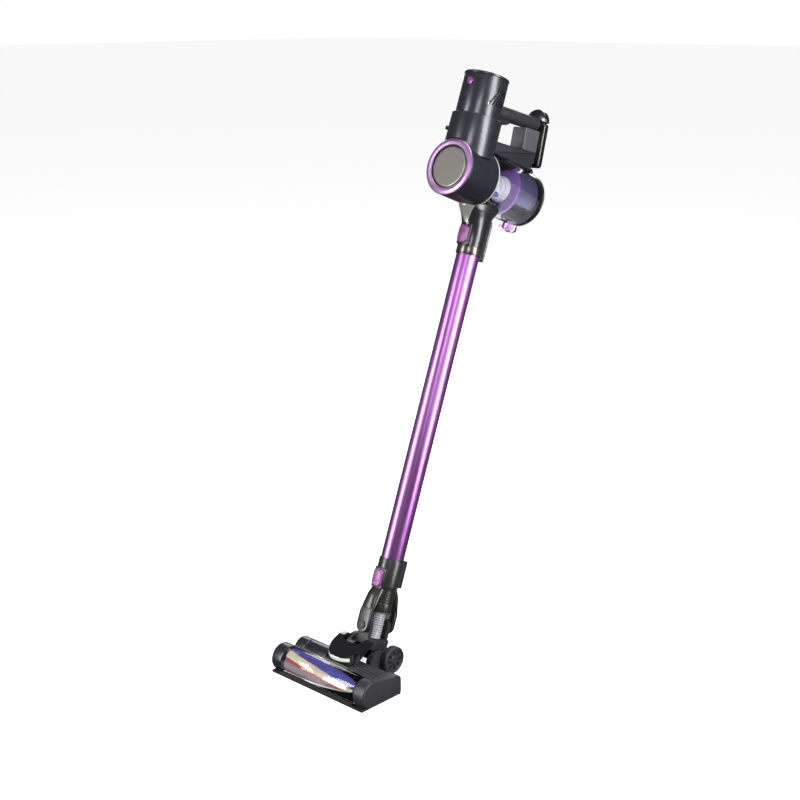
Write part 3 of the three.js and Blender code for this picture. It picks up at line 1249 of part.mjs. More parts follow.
function bumperStrip() {
  const top = COVER_BASE + 5;
  const side = [
    [HEAD_FRONT, COVER_BASE], [HEAD_FRONT + 8, COVER_BASE], [HEAD_FRONT + 6, top - 1],
    [HEAD_FRONT + 1.5, top - 0.5], [HEAD_FRONT, top - 2],
  ];
  const windowRoom = atBrush(crossRod(WINDOW_RADIUS + GAP, -INNER_HALF, INNER_HALF, ROUND));
  return cut(sideways(side, -WINDOW_HALF, WINDOW_HALF), windowRoom);
}

const HOOD_CENTRE_Y = HOOD_FRONT_Y + HOOD_RADIUS;

function hoodPlan(shrink) {
  const half = HOOD_RADIUS - shrink;
  const shape = new THREE.Shape();
  shape.moveTo(half, HOOD_REAR_Y);
  shape.lineTo(-half, HOOD_REAR_Y);
  shape.lineTo(-half, HOOD_CENTRE_Y);
  shape.absarc(0, HOOD_CENTRE_Y, half, Math.PI, 2 * Math.PI, false);
  shape.closePath();
  return shape;
}

function hoodSide(shrink) {
  const front = HOOD_FRONT_Y - 1;
  const low = DECK_FRONT_Z + 0.2;
  return [
    [front, low - 15], [front, low + 2 - shrink], [front + 6, low + 7 - shrink],
    [HOOD_REAR_Y - 12, low + 28 - shrink], [HOOD_REAR_Y + 1, low + 29.5 - shrink],
    [HOOD_REAR_Y + 1, low + 17], [HOOD_REAR_Y - 24, low + 6], [front + 20, low - 10],
  ];
}

function hoodForm(shrink) {
  const plan = extruded(hoodPlan(shrink), 0, 2 * HOOD_REAR_Y, 12);
  return common(plan, sideways(hoodSide(shrink), -HOOD_RADIUS, HOOD_RADIUS));
}

const LED_Z = DECK_FRONT_Z - 2.5;

// An arc-shaped band round the hood's nose.
function noseBand(outer, inner, halfAngle, from, to) {
  const shape = new THREE.Shape();
  const middle = 1.5 * Math.PI;
  shape.absarc(0, HOOD_CENTRE_Y, outer, middle - halfAngle, middle + halfAngle, false);
  shape.absarc(0, HOOD_CENTRE_Y, inner, middle + halfAngle, middle - halfAngle, true);
  shape.closePath();
  return extruded(shape, from, to, 10);
}

function hood() {
  const notchHalf = HOOD_NOTCH / 2;
  const notch = box([-notchHalf, notchHalf], [HOOD_CENTRE_Y + 3, HOOD_REAR_Y + 5], [0, 2 * HOOD_REAR_Y]);
  const overDeck = sideways(deckOutline(-PLAY), -WINDOW_HALF, WINDOW_HALF);
  const hollow = cut(hoodForm(HOOD_WALL), box([-HOOD_RADIUS, HOOD_RADIUS], [0, 1], [0, 1]));
  const seatTop = LED_Z + LED_HEIGHT + GAP;
  const lampSeat = noseBand(HOOD_RADIUS + 2, HOOD_RADIUS - 6, LED_HALF_ANGLE + 0.01, LED_Z - GAP, seatTop);
  return cut(hoodForm(0), shifted(hollow, 0, 0, -0.01), notch, overDeck, lampSeat);
}

add(vacuum, 'sole_plate', solePlate(), darkMatte);
add(vacuum, 'belt_cover', beltCover(), darkGloss);
add(vacuum, 'side_cap', sideCap(), darkMatte);
add(vacuum, 'brush_window', brushWindow(), smokyClear);
add(vacuum, 'deck', deck(), darkGloss);
add(vacuum, 'brush_motor_housing', brushMotorHousing(), darkGloss);
add(vacuum, 'brush_motor', brushMotor(), steel);
add(vacuum, 'drive_belt', driveBelt(), rubber);
add(vacuum, 'motor_pulley', motorPulley(), steel);
add(vacuum, 'brush_roll', brushRoll(), plush);
add(vacuum, 'bristle_strip', bristleStrip(), bristle);
add(vacuum, 'brush_bearing', brushBearing(), silverPlastic);
add(vacuum, 'bumper_strip', bumperStrip(), rubber);
add(vacuum, 'hood', hood(), blackGloss);
add(vacuum, 'led_lens',
  noseBand(HOOD_RADIUS + 0.4, HOOD_RADIUS - HOOD_WALL, LED_HALF_ANGLE, LED_Z, LED_Z + LED_HEIGHT), lampLens);

// ---- Wheels ----------------------------------------------------------------------------------

function wheel() {
  const inner = CHEEK_OUTER + 0.5;
  const outer = inner + WHEEL_WIDTH;
  const bore = WHEEL_STUB_RADIUS + PLAY;
  const rim = WHEEL_RADIUS;
  return atAxle(alongX(turned([
    [bore, inner], [rim - 1, inner], [rim, inner + 1], [rim, outer - 2], [rim - 2, outer],
    [rim - 5, outer], [rim - 6, outer - 1.5], [bore + 4, outer - 1.5], [bore + 3, outer], [bore, outer],
    [bore, inner],
  ], ROUND)));
}

add(vacuum, 'wheel_left', wheel(), darkMatte);
add(vacuum, 'wheel_right', mirrorX(wheel()), darkMatte);

export default vacuum;
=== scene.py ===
# Cordless stick vacuum: the looks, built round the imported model.
import json
import math
import random

import bmesh
import bpy
from mathutils import Matrix, Vector


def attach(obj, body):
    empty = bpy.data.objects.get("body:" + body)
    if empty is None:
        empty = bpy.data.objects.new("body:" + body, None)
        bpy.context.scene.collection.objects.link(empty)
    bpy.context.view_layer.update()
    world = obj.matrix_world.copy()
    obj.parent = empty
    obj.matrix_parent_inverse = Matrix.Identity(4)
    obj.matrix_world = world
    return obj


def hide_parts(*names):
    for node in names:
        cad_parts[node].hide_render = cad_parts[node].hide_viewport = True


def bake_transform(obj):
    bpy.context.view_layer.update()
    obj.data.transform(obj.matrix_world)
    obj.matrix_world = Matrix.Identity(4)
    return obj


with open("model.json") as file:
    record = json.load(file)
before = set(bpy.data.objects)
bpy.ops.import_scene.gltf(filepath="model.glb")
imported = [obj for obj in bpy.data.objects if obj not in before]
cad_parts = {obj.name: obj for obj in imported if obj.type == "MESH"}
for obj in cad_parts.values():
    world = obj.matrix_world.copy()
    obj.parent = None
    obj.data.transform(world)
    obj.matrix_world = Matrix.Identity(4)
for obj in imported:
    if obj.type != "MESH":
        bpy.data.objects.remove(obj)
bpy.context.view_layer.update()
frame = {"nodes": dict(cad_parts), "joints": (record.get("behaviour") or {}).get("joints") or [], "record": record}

NODES = frame["nodes"]
JOINTS = {joint["name"]: joint for joint in frame["joints"]}
MM = 0.001
EPSILON = 1e-6

# ---- Camera, light and floor -------------------------------------------------------------------

CAMERA_PLACE = (1.69668, -1.63253, 1.20169)
CAMERA_TARGET = (0.01283, 0.16105, 0.5113)
CAMERA_LENS = 63.06
CAMERA_SENSOR = 36.0


def aim(thing, place, target):
    thing.location = place
    thing.rotation_euler = (Vector(target) - Vector(place)).to_track_quat("-Z", "Y").to_euler()


def make_camera():
    data = bpy.data.cameras.new("camera")
    data.lens = CAMERA_LENS
    data.sensor_width = CAMERA_SENSOR
    camera = bpy.data.objects.new("camera", data)
    bpy.context.scene.collection.objects.link(camera)
    aim(camera, CAMERA_PLACE, CAMERA_TARGET)
    bpy.context.scene.camera = camera


def soft_box(name, place, target, width, height, power):
    data = bpy.data.lights.new(name, "AREA")
    data.shape = "RECTANGLE"
    data.size = width
    data.size_y = height
    data.energy = power
    light = bpy.data.objects.new(name, data)
    bpy.context.scene.collection.objects.link(light)
    aim(light, place, target)


def polar(angle, distance, height):
    turn = math.radians(angle)
    return (distance * math.sin(turn), -distance * math.cos(turn), height)


def make_lights():
    middle = (0, 0.2, 0.55)
    soft_box("left_box", polar(-28, 2.4, 1.0), middle, 0.7, 2.6, 85)
    soft_box("right_box", polar(104, 2.4, 1.1), middle, 0.9, 2.8, 110)
    soft_box("front_box", polar(40, 3.6, 2.6), middle, 1.2, 0.9, 38)
    soft_box("top_box", (0.2, 0.2, 3.2), middle, 1.6, 1.6, 34)
    soft_box("back_box", polar(215, 3.0, 1.6), middle, 2.0, 1.6, 30)
    world = bpy.data.worlds.new("studio")
    bpy.context.scene.world = world
    world.use_nodes = True
    tree = world.node_tree
    tree.nodes.clear()
    path = tree.nodes.new("ShaderNodeLightPath")
    lit = tree.nodes.new("ShaderNodeBackground")
    seen = tree.nodes.new("ShaderNodeBackground")
    choose = tree.nodes.new("ShaderNodeMixShader")
    out = tree.nodes.new("ShaderNodeOutputWorld")
    lit.inputs["Color"].default_value = (0.085, 0.085, 0.09, 1)
    seen.inputs["Color"].default_value = (1, 1, 1, 1)
    tree.links.new(path.outputs["Is Camera Ray"], choose.inputs[0])
    tree.links.new(lit.outputs[0], choose.inputs[1])
    tree.links.new(seen.outputs[0], choose.inputs[2])
    tree.links.new(choose.outputs[0], out.inputs[0])
    bpy.context.scene.view_settings.view_transform = "Standard"


def make_floor():
    half = 40.0
    mesh = bpy.data.meshes.new("floor")
    corners = [(-half, -half, 0), (half, -half, 0), (half, half, 0), (-half, half, 0)]
    mesh.from_pydata(corners, [], [(0, 1, 2, 3)])
    floor = bpy.data.objects.new("floor", mesh)
    bpy.context.scene.collection.objects.link(floor)
    material = bpy.data.materials.new("floor")
    material.use_nodes = True
    bsdf = material.node_tree.nodes["Principled BSDF"]
    bsdf.inputs["Base Color"].default_value = (0.93, 0.93, 0.93, 1)
    bsdf.inputs["Roughness"].default_value = 0.9
    bsdf.inputs["Emission Color"].default_value = (1, 1, 1, 1)
    bsdf.inputs["Emission Strength"].default_value = 0.86
    mesh.materials.append(material)
    floor.visible_glossy = False
    floor.visible_diffuse = False


make_camera()
make_lights()
make_floor()

# ---- Frames ------------------------------------------------------------------------------------
# Each piece is drawn in millimetres in one of these frames, whose axes come from the joints.


def joint_axis(name):
    return Vector(JOINTS[name]["axis"]).normalized()


def frame_at(origin, up, rear):
    side = rear.cross(up).normalized()
    matrix = Matrix((side, rear, up)).transposed().to_4x4()
    matrix.translation = origin
    return matrix


def span(node, matrix):
    """A CAD node's lowest and highest corners in a frame, in millimetres."""
    inverse = matrix.inverted()
    points = [inverse @ vertex.co for vertex in NODES[node].data.vertices]
    low = Vector([min(p[i] for p in points) for i in range(3)]) / MM
    high = Vector([max(p[i] for p in points) for i in range(3)]) / MM
    return low, high


HEAD = Matrix.Identity(4)
UP = -joint_axis("wand_release")
REAR = joint_axis("neck_roll")
ROLL_POINT = Vector(JOINTS["neck_roll"]["pos_m"])
WAND = frame_at(ROLL_POINT - UP * (ROLL_POINT.z / UP.z), UP, REAR)
ROLL_Z = ROLL_POINT.z / UP.z / MM

RING_LOW, RING_HIGH = span("front_ring", WAND)
BARREL_R = (RING_HIGH.x - RING_LOW.x) / 2
UNIT = WAND @ Matrix.Translation((0, 0, (RING_LOW.z + RING_HIGH.z) / 2 * MM))

GRIP_UP = joint_axis("trigger_pull")
GRIP_REAR = joint_axis("battery_removal")
GRIP_MOUNT = next(m for m in frame["record"]["mounts"] if m["name"] == "grip")
GRIP_POINT = UNIT.inverted() @ Vector(GRIP_MOUNT["pos_m"])
GRIP_TILT = GRIP_UP.angle(UP)
GRIP_ORIGIN = Vector((0, 0, GRIP_POINT.z - GRIP_POINT.y * math.tan(GRIP_TILT)))
GRIP = frame_at(UNIT @ GRIP_ORIGIN, GRIP_UP, GRIP_REAR)

# ---- Shapes ------------------------------------------------------------------------------------


class Shape:
    """Points and faces in millimetres, with a material number for each face."""

    def __init__(self):
        self.points = []
        self.faces = []
        self.slots = []

    def add(self, points, faces, slot=0, matrix=None):
        start = len(self.points)
        placed = [matrix @ Vector(p) for p in points] if matrix else [Vector(p) for p in points]
        self.points += placed
        self.faces += [tuple(start + i for i in face) for face in faces]
        self.slots += [slot] * len(faces)


ALONG_X = Matrix(((0, 0, 1), (1, 0, 0), (0, 1, 0))).to_4x4()      # x, y, z of the drawing to y, z, x
ALONG_Y = Matrix.Rotation(-math.pi / 2, 4, "X")                  # the drawing's z to +y, its y to -z
FACING_FRONT = Matrix.Rotation(math.pi / 2, 4, "X")              # the drawing's z to -y, its y to z


def at(x, y, z, turn=None):
    matrix = Matrix.Translation((x, y, z))
    return matrix @ turn if turn else matrix


def spin(degrees, axis):
    return Matrix.Rotation(math.radians(degrees), 4, axis)


def filleted(points, radius, steps=5, closed=True):
    """A polyline with each corner rounded. A point may carry its own radius as a third number."""
    count = len(points)
    result = []
    for i, point in enumerate(points):
        own = point[2] if len(point) > 2 else radius
        here = Vector(point[:2])
        if (not closed and i in (0, count - 1)) or own <= 0:
            result.append(tuple(here))
            continue
        before = Vector(points[i - 1][:2]) - here
        after = Vector(points[(i + 1) % count][:2]) - here
        if before.length < EPSILON or after.length < EPSILON:
            result.append(tuple(here))
            continue
        half = before.angle(after) / 2
        if half > math.pi / 2 - 0.01:
            result.append(tuple(here))
            continue
        reach = min(own / math.tan(half), before.length * 0.49, after.length * 0.49)
        first = here + before.normalized() * reach
        last = here + after.normalized() * reach
        for k in range(steps + 1):
            t = k / steps
            result.append(tuple(first * (1 - t) ** 2 + here * 2 * t * (1 - t) + last * t ** 2))
    return result


def lathe(shape, profile, sides=96, slot=0, matrix=None):
    """A profile of (radius, height) turned about Z. It ends on the axis or closes on itself."""
    loops = []
    points = []
    for radius, height in profile:
        if radius < EPSILON:
            loops.append([len(points)] * sides)
            points.append((0, 0, height))
            continue
        loops.append(list(range(len(points), len(points) + sides)))
        for i in range(sides):
            angle = 2 * math.pi * i / sides
            points.append((radius * math.cos(angle), radius * math.sin(angle), height))
    if profile[0][0] >= EPSILON:
        loops.append(loops[0])
    faces = []
    for low, high in zip(loops, loops[1:]):
        for i in range(sides):
            j = (i + 1) % sides
            corners = []
            for corner in (low[i], low[j], high[j], high[i]):
                if corner not in corners:
                    corners.append(corner)
            if len(corners) > 2:
                faces.append(tuple(corners))
    shape.add(points, faces, slot, matrix)


def ring_profile(inner, outer, low, high, edge=0.5):
    corners = [(inner, low), (outer, low), (outer, high), (inner, high)]
    return filleted(corners, edge, 3)


def disc_profile(radius, low, high, edge=0.5):
    corners = [(0, low), (radius, low), (radius, high), (0, high)]
    return filleted(corners, edge, 4, closed=False)


def loft(shape, rings, slot=0, matrix=None):
    """Rings of 3-D points with equal counts, joined in turn and closed at both ends."""
    count = len(rings[0])
    points = [p for ring in rings for p in ring]
    faces = []
    for low in range(len(rings) - 1):
        high = low + 1
        for i in range(count):
            j = (i + 1) % count
            faces.append((low * count + i, low * count + j, high * count + j, high * count + i))
    faces.append(tuple(reversed(range(count))))
    faces.append(tuple(range((len(rings) - 1) * count, len(rings) * count)))
    shape.add(points, faces, slot, matrix)


def inset(outline, distance):
    """A closed outline moved inwards, corner by corner."""
    count = len(outline)
    area = sum(outline[i - 1][0] * outline[i][1] - outline[i][0] * outline[i - 1][1] for i in range(count))
    sign = 1 if area > 0 else -1
    moved = []
    for i in range(count):
        before = (Vector(outline[i]) - Vector(outline[i - 1])).normalized()
        after = (Vector(outline[(i + 1) % count]) - Vector(outline[i])).normalized()
        tangent = before + after
        if tangent.length < EPSILON:
            moved.append(tuple(outline[i]))
            continue
        tangent.normalize()
        normal = Vector((-tangent.y, tangent.x)) * sign
        stretch = 1 / max(0.5, tangent.dot(after))
        moved.append(tuple(Vector(outline[i]) + normal * distance * stretch))
    return moved


def prism(shape, outline, low, high, edge=0.6, slot=0, matrix=None, steps=4):
    """An outline drawn in x and y, extruded along z, with rounded edges at both ends."""
    rings = []
    for k in range(steps + 1):
        angle = math.pi / 2 * k / steps
        ring = inset(outline, edge * (1 - math.sin(angle)))
        rings.append([(x, y, low + edge * (1 - math.cos(angle))) for x, y in ring])
    for k in range(steps + 1):
        angle = math.pi / 2 * (1 - k / steps)
        ring = inset(outline, edge * (1 - math.sin(angle)))
        rings.append([(x, y, high - edge * (1 - math.cos(angle))) for x, y in ring])
    loft(shape, rings, slot, matrix)


def oblong(half_x, half_y, radius, steps=8, centre=(0, 0)):
    corners = [(half_x, -half_y), (half_x, half_y), (-half_x, half_y), (-half_x, -half_y)]
    moved = [(x + centre[0], y + centre[1]) for x, y in corners]
    return filleted(moved, radius, steps)


def block(shape, xs, ys, zs, radius=1.0, edge=0.5, slot=0, matrix=None):
    """A box with rounded upright corners and rounded edges."""
    centre = ((xs[0] + xs[1]) / 2, (ys[0] + ys[1]) / 2)
    outline = oblong((xs[1] - xs[0]) / 2, (ys[1] - ys[0]) / 2, radius, 4, centre)
    prism(shape, outline, zs[0], zs[1], edge, slot, matrix, 3)


def arc(centre, radius, start, end, steps):
    points = []
    for k in range(steps + 1):
        angle = math.radians(start + (end - start) * k / steps)
        points.append((centre[0] + radius * math.cos(angle), centre[1] + radius * math.sin(angle)))
    return points


def smooth_keys(keys, count):
    """Rows of numbers run through by a smooth curve, resampled to count rows."""
    rows = []
    for k in range(count):
        place = (len(keys) - 1) * k / (count - 1)
        i = min(int(place), len(keys) - 2)
        t = place - i
        p0, p1 = keys[max(i - 1, 0)], keys[i]
        p2, p3 = keys[i + 1], keys[min(i + 2, len(keys) - 1)]
        row = []
        for a, b, c, d in zip(p0, p1, p2, p3):
            row.append(0.5 * (2 * b + (c - a) * t + (2 * a - 5 * b + 4 * c - d) * t * t
                              + (3 * b - a - 3 * c + d) * t ** 3))
        rows.append(row)
    return rows


def sweep(shape, path, radius, sides=12, slot=0, matrix=None):
    """A round bar along a list of points."""
    rings = []
    normal = None
    for i, point in enumerate(path):
        here = Vector(point)
        ahead = Vector(path[min(i + 1, len(path) - 1)])
        behind = Vector(path[max(i - 1, 0)])
        tangent = (ahead - behind).normalized()
        if normal is None:
            normal = tangent.orthogonal().normalized()
        normal = (normal - tangent * normal.dot(tangent)).normalized()
        other = tangent.cross(normal)
        ring = []
        for k in range(sides):
            angle = 2 * math.pi * k / sides
            ring.append(here + (normal * math.cos(angle) + other * math.sin(angle)) * radius)
        rings.append(ring)
    loft(shape, rings, slot, matrix)


# ---- Pieces ------------------------------------------------------------------------------------

SHARP_ANGLE = 32


def mesh_object(name, shape, matrix, materials):
    mesh = bpy.data.meshes.new(name)
    mesh.from_pydata([p * MM for p in shape.points], [], shape.faces)
    for material in materials:
        mesh.materials.append(material)
    mesh.polygons.foreach_set("material_index", shape.slots)
    work = bmesh.new()
    work.from_mesh(mesh)
    bmesh.ops.remove_doubles(work, verts=work.verts, dist=1e-7)
    bmesh.ops.recalc_face_normals(work, faces=work.faces)
    work.to_mesh(mesh)
    work.free()
    obj = bpy.data.objects.new(name, mesh)
    bpy.context.scene.collection.objects.link(obj)
    obj.matrix_world = matrix
    return obj


def apply_modifiers(obj):
    bpy.context.view_layer.update()
    depsgraph = bpy.context.evaluated_depsgraph_get()
    mesh = bpy.data.meshes.new_from_object(obj.evaluated_get(depsgraph))
    obj.modifiers.clear()
    obj.data = mesh


def carve(obj, *cutters, operation="DIFFERENCE"):
    """Booleans with shapes in the object's own frame. Each cutter goes once it is applied."""
    for number, cutter in enumerate(cutters):
        tool = mesh_object(f"cutter_{number}", cutter, obj.matrix_world, [])
        modifier = obj.modifiers.new("cut", "BOOLEAN")
        modifier.operation = operation
        modifier.solver = "EXACT"
        modifier.object = tool
        apply_modifiers(obj)
        bpy.data.objects.remove(tool)


def soften(obj, width, segments, angle):
    modifier = obj.modifiers.new("edges", "BEVEL")
    modifier.width = width * MM
    modifier.segments = segments
    modifier.limit_method = "ANGLE"
    modifier.angle_limit = math.radians(angle)
    modifier.harden_normals = False
    apply_modifiers(obj)


def finish_piece(obj, body, nodes=(), sharp=SHARP_ANGLE):
    obj.data.shade_smooth()
    obj.data.set_sharp_from_angle(angle=math.radians(sharp))
    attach(obj, body)
    if nodes:
        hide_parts(*nodes)


def piece(name, shape, matrix, materials, body, nodes=(), cutters=(), sharp=SHARP_ANGLE):
    obj = mesh_object(name, shape, matrix, materials)
    if cutters:
        carve(obj, *cutters)
    finish_piece(obj, body, nodes, sharp)


# ---- Materials ---------------------------------------------------------------------------------

CLEAR_IOR = 1.45


class Nodes:
    """Short names for building one material's node tree."""

    def __init__(self, name):
        self.material = bpy.data.materials.new(name)
        self.material.use_nodes = True
        self.tree = self.material.node_tree
        self.bsdf = self.tree.nodes["Principled BSDF"]
        self.coordinates = self.tree.nodes.new("ShaderNodeTexCoord").outputs["Object"]

    def add(self, kind, **values):
        node = self.tree.nodes.new(kind)
        for key, value in values.items():
            setattr(node, key, value)
        return node

    def link(self, source, target):
        self.tree.links.new(source, target)

    def stretched(self, scale):
        mapping = self.add("ShaderNodeMapping")
        mapping.inputs["Scale"].default_value = scale
        self.link(self.coordinates, mapping.inputs["Vector"])
        return mapping.outputs["Vector"]

    def noise(self, scale, detail=3.0, stretch=(1, 1, 1), roughness=0.55):
        node = self.add("ShaderNodeTexNoise")
        node.inputs["Scale"].default_value = scale
        node.inputs["Detail"].default_value = detail
        node.inputs["Roughness"].default_value = roughness
        self.link(self.stretched(stretch), node.inputs["Vector"])
        return node.outputs["Fac"]

    def ramp(self, factor, stops):
        node = self.add("ShaderNodeValToRGB")
        elements = node.color_ramp.elements
        while len(elements) < len(stops):
            elements.new(0.5)
        for element, (place, color) in zip(elements, stops):
            element.position = place
            element.color = (*color, 1)
        self.link(factor, node.inputs["Fac"])
        return node.outputs["Color"]

    def spread(self, factor, low, high):
        node = self.add("ShaderNodeMapRange")
        node.inputs["From Min"].default_value = 0.3
        node.inputs["From Max"].default_value = 0.7
        node.inputs["To Min"].default_value = low
        node.inputs["To Max"].default_value = high
        self.link(factor, node.inputs["Value"])
        return node.outputs["Result"]

    def bump(self, height, strength, distance):
        node = self.add("ShaderNodeBump")
        node.inputs["Strength"].default_value = strength
        node.inputs["Distance"].default_value = distance
        self.link(height, node.inputs["Height"])
        self.link(node.outputs["Normal"], self.bsdf.inputs["Normal"])

    def set(self, **values):
        for key, value in values.items():
            self.bsdf.inputs[key.replace("_", " ")].default_value = value
        return self.material


def shade(color, factor):
    return tuple(min(1.0, channel * factor) for channel in color)


def plastic(name, color, roughness, coat=0.0, grain=900.0, depth=0.00002, variation=0.12, metallic=0.0,
            coat_roughness=0.08):
    """Moulded plastic: slow colour drift, uneven polish and a fine moulded grain."""
    n = Nodes(name)
    drift = n.noise(14, 2)
    n.link(n.ramp(drift, [(0.35, shade(color, 1 - variation)), (0.65, shade(color, 1 + variation))]),
           n.bsdf.inputs["Base Color"])
    n.link(n.spread(n.noise(60, 4), roughness * 0.85, roughness * 1.15), n.bsdf.inputs["Roughness"])
    n.bump(n.noise(grain, 2), 0.25, depth)
    return n.set(Metallic=metallic, Coat_Weight=coat, Coat_Roughness=coat_roughness)


def brushed(name, color, roughness, stretch, grain=220.0, depth=0.000012, coat=0.0, variation=0.08):
    """Metal with a drawn or turned grain along the frame's own axes."""
    n = Nodes(name)
    lines = n.noise(grain, 3, stretch, 0.6)
    n.link(n.ramp(lines, [(0.3, shade(color, 1 - variation)), (0.7, shade(color, 1 + variation))]),
           n.bsdf.inputs["Base Color"])
    n.link(n.spread(lines, roughness * 0.8, roughness * 1.25), n.bsdf.inputs["Roughness"])
    n.bump(lines, 0.2, depth)
    return n.set(Metallic=1.0, Coat_Weight=coat, Coat_Roughness=0.1)


def clear(name, color, roughness):
    """A clear moulding with faint flow marks."""
    n = Nodes(name)
    flow = n.noise(25, 2, (1, 0.3, 1))
    n.link(n.ramp(flow, [(0.35, shade(color, 0.96)), (0.65, color)]), n.bsdf.inputs["Base Color"])
    n.link(n.spread(n.noise(120, 3), roughness * 0.6, roughness * 1.6), n.bsdf.inputs["Roughness"])
    n.bump(n.noise(40, 2), 0.05, 0.00003)
    return n.set(IOR=CLEAR_IOR, Transmission_Weight=1.0)


def fibre(name, color, scale=1400.0, sheen=0.5):
    """Dense pile: broken colour and a deep fine grain."""
    n = Nodes(name)
    pile = n.noise(scale, 4)
    n.link(n.ramp(pile, [(0.3, shade(color, 0.55)), (0.7, shade(color, 1.2))]), n.bsdf.inputs["Base Color"])
    n.bump(pile, 0.8, 0.0004)
    return n.set(Roughness=0.85, Sheen_Weight=sheen, Sheen_Roughness=0.4)


M_HOUSING = plastic("dark_housing", (0.022, 0.023, 0.031), 0.32, coat=0.5, metallic=0.35, variation=0.08,
                    coat_roughness=0.2)
M_NECK = plastic("dark_neck", (0.017, 0.017, 0.023), 0.3, coat=0.5, metallic=0.25, coat_roughness=0.2)
M_MATTE = plastic("satin_dark", (0.022, 0.022, 0.026), 0.45, grain=1600, depth=0.00006)
M_ARM = plastic("satin_arm", (0.018, 0.018, 0.024), 0.38, grain=1600, depth=0.00005)
M_BATTERY = plastic("battery_grey", (0.070, 0.070, 0.080), 0.45, grain=1600, depth=0.00006)
M_BLACK = plastic("piano_black", (0.006, 0.006, 0.008), 0.16, coat=1.0, depth=0.000005)
M_GROOVE = plastic("groove_black", (0.004, 0.004, 0.005), 0.6)
M_RUBBER = plastic("rubber", (0.012, 0.012, 0.013), 0.8, grain=2200, depth=0.0001)
M_RED_LINE = plastic("red_trim", (0.22, 0.02, 0.03), 0.4)
M_VIOLET_TUBE = brushed("violet_tube", (0.40, 0.16, 0.47), 0.36, (1, 1, 0.02), coat=0.2)
M_VIOLET_RING = plastic("violet_ring", (0.34, 0.20, 0.38), 0.38, coat=0.25, metallic=0.7, depth=0.000008)
M_VIOLET_RIM = plastic("violet_rim", (0.12, 0.015, 0.20), 0.25, coat=0.8, metallic=0.6)
M_VIOLET_BUTTON = plastic("violet_button", (0.20, 0.055, 0.19), 0.36, coat=0.3, metallic=0.3,
                          coat_roughness=0.25)
M_VIOLET_CYCLONE = plastic("violet_cyclone", (0.25, 0.12, 0.42), 0.35, coat=0.4)
M_LILAC_CLEAR = clear("lilac_clear", (0.80, 0.55, 0.86), 0.08)
M_DISC = brushed("champagne_disc", (0.20, 0.19, 0.175), 0.34, (1, 1, 1), grain=500)
# Light silver for the neck's front plate is a painted highlight. It stands in for the glossy reflection on the
# neck's flat front facet.
M_NECK_HIGHLIGHT = plastic("painted_neck_highlight", (0.46, 0.44, 0.41), 0.32, coat=0.4, metallic=0.55)
M_GUNMETAL = plastic("gunmetal", (0.12, 0.115, 0.10), 0.28, coat=0.3, metallic=0.85)
M_SOCKET = plastic("socket_dark", (0.034, 0.036, 0.033), 0.34, coat=0.3, metallic=0.5, coat_roughness=0.25)
M_HOSE = plastic("hose_grey", (0.34, 0.34, 0.37), 0.3, coat=0.5)
M_STEEL = brushed("steel", (0.55, 0.56, 0.58), 0.28, (1, 1, 1), grain=400)
M_CLEAR_CUP = clear("smoky_clear", (0.86, 0.84, 0.93), 0.03)
M_WINDOW = clear("window_clear", (0.94, 0.94, 0.97), 0.02)
# Frosted white is the cyclone body's own colour. On the bearing cap at the roll's +x end it is a painted
# highlight.
M_FROST_AND_HIGHLIGHT = plastic("frosted_white_and_highlight", (0.66, 0.70, 0.66), 0.35, coat=0.4)
M_SCREEN = plastic("smoky_screen", (0.085, 0.085, 0.16), 0.3, coat=0.6, metallic=0.3)
M_LENS = plastic("lamp_lens", (0.72, 0.78, 0.66), 0.25, coat=0.6)
M_BOARD = plastic("board_green", (0.02, 0.14, 0.06), 0.4)
M_CELL = plastic("cell_wrap", (0.04, 0.15, 0.36), 0.35, coat=0.5)
M_FILTER = fibre("filter_paper", (0.78, 0.77, 0.72), 700, 0.1)
M_PLUSH_CREAM = fibre("plush_cream", (0.86, 0.78, 0.55))
M_PLUSH_MAUVE = fibre("plush_mauve", (0.30, 0.19, 0.20))
M_BRISTLE_RED = fibre("bristle_red", (0.62, 0.09, 0.05), 2000, 0.2)
M_BRISTLE_BLUE = fibre("bristle_blue", (0.09, 0.09, 0.48), 2000, 0.2)
M_SEAL = plastic("seal_grey", (0.45, 0.45, 0.50), 0.5)


# ---- Wand --------------------------------------------------------------------------------------

TUBE_R = 22.0
COLLAR_R = 24.0
TUBE_LOW, TUBE_HIGH = (corner.z for corner in span("wand_tube", WAND))
COLLAR_HIGH = TUBE_HIGH + 16
SOCKET_HIGH = span("head_socket", WAND)[1].z
SOCKET_BODY_LOW = ROLL_Z + 29

shape = Shape()
lathe(shape, ring_profile(TUBE_R - 1.2, TUBE_R, TUBE_LOW, TUBE_HIGH, 0.4), 128)
piece("wand_tube_skin", shape, WAND, [M_VIOLET_TUBE], "wand", ["wand_tube"])

shape = Shape()
lathe(shape, ring_profile(16.5, COLLAR_R, TUBE_HIGH + 0.3, COLLAR_HIGH, 0.9), 112)
lathe(shape, ring_profile(16.5, COLLAR_R + 0.25, TUBE_HIGH + 1.8, TUBE_HIGH + 3.0, 0.4), 112, 1)
lathe(shape, ring_profile(16.5, 19.0, COLLAR_HIGH - 1, COLLAR_HIGH + 44, 0.6), 96)
lathe(shape, ring_profile(16.5, 20.5, TUBE_HIGH - 32, TUBE_HIGH + 0.5, 0.4), 96)
piece("upper_collar", shape, WAND, [M_GUNMETAL, M_GROOVE], "wand", ["wand_upper_collar"])


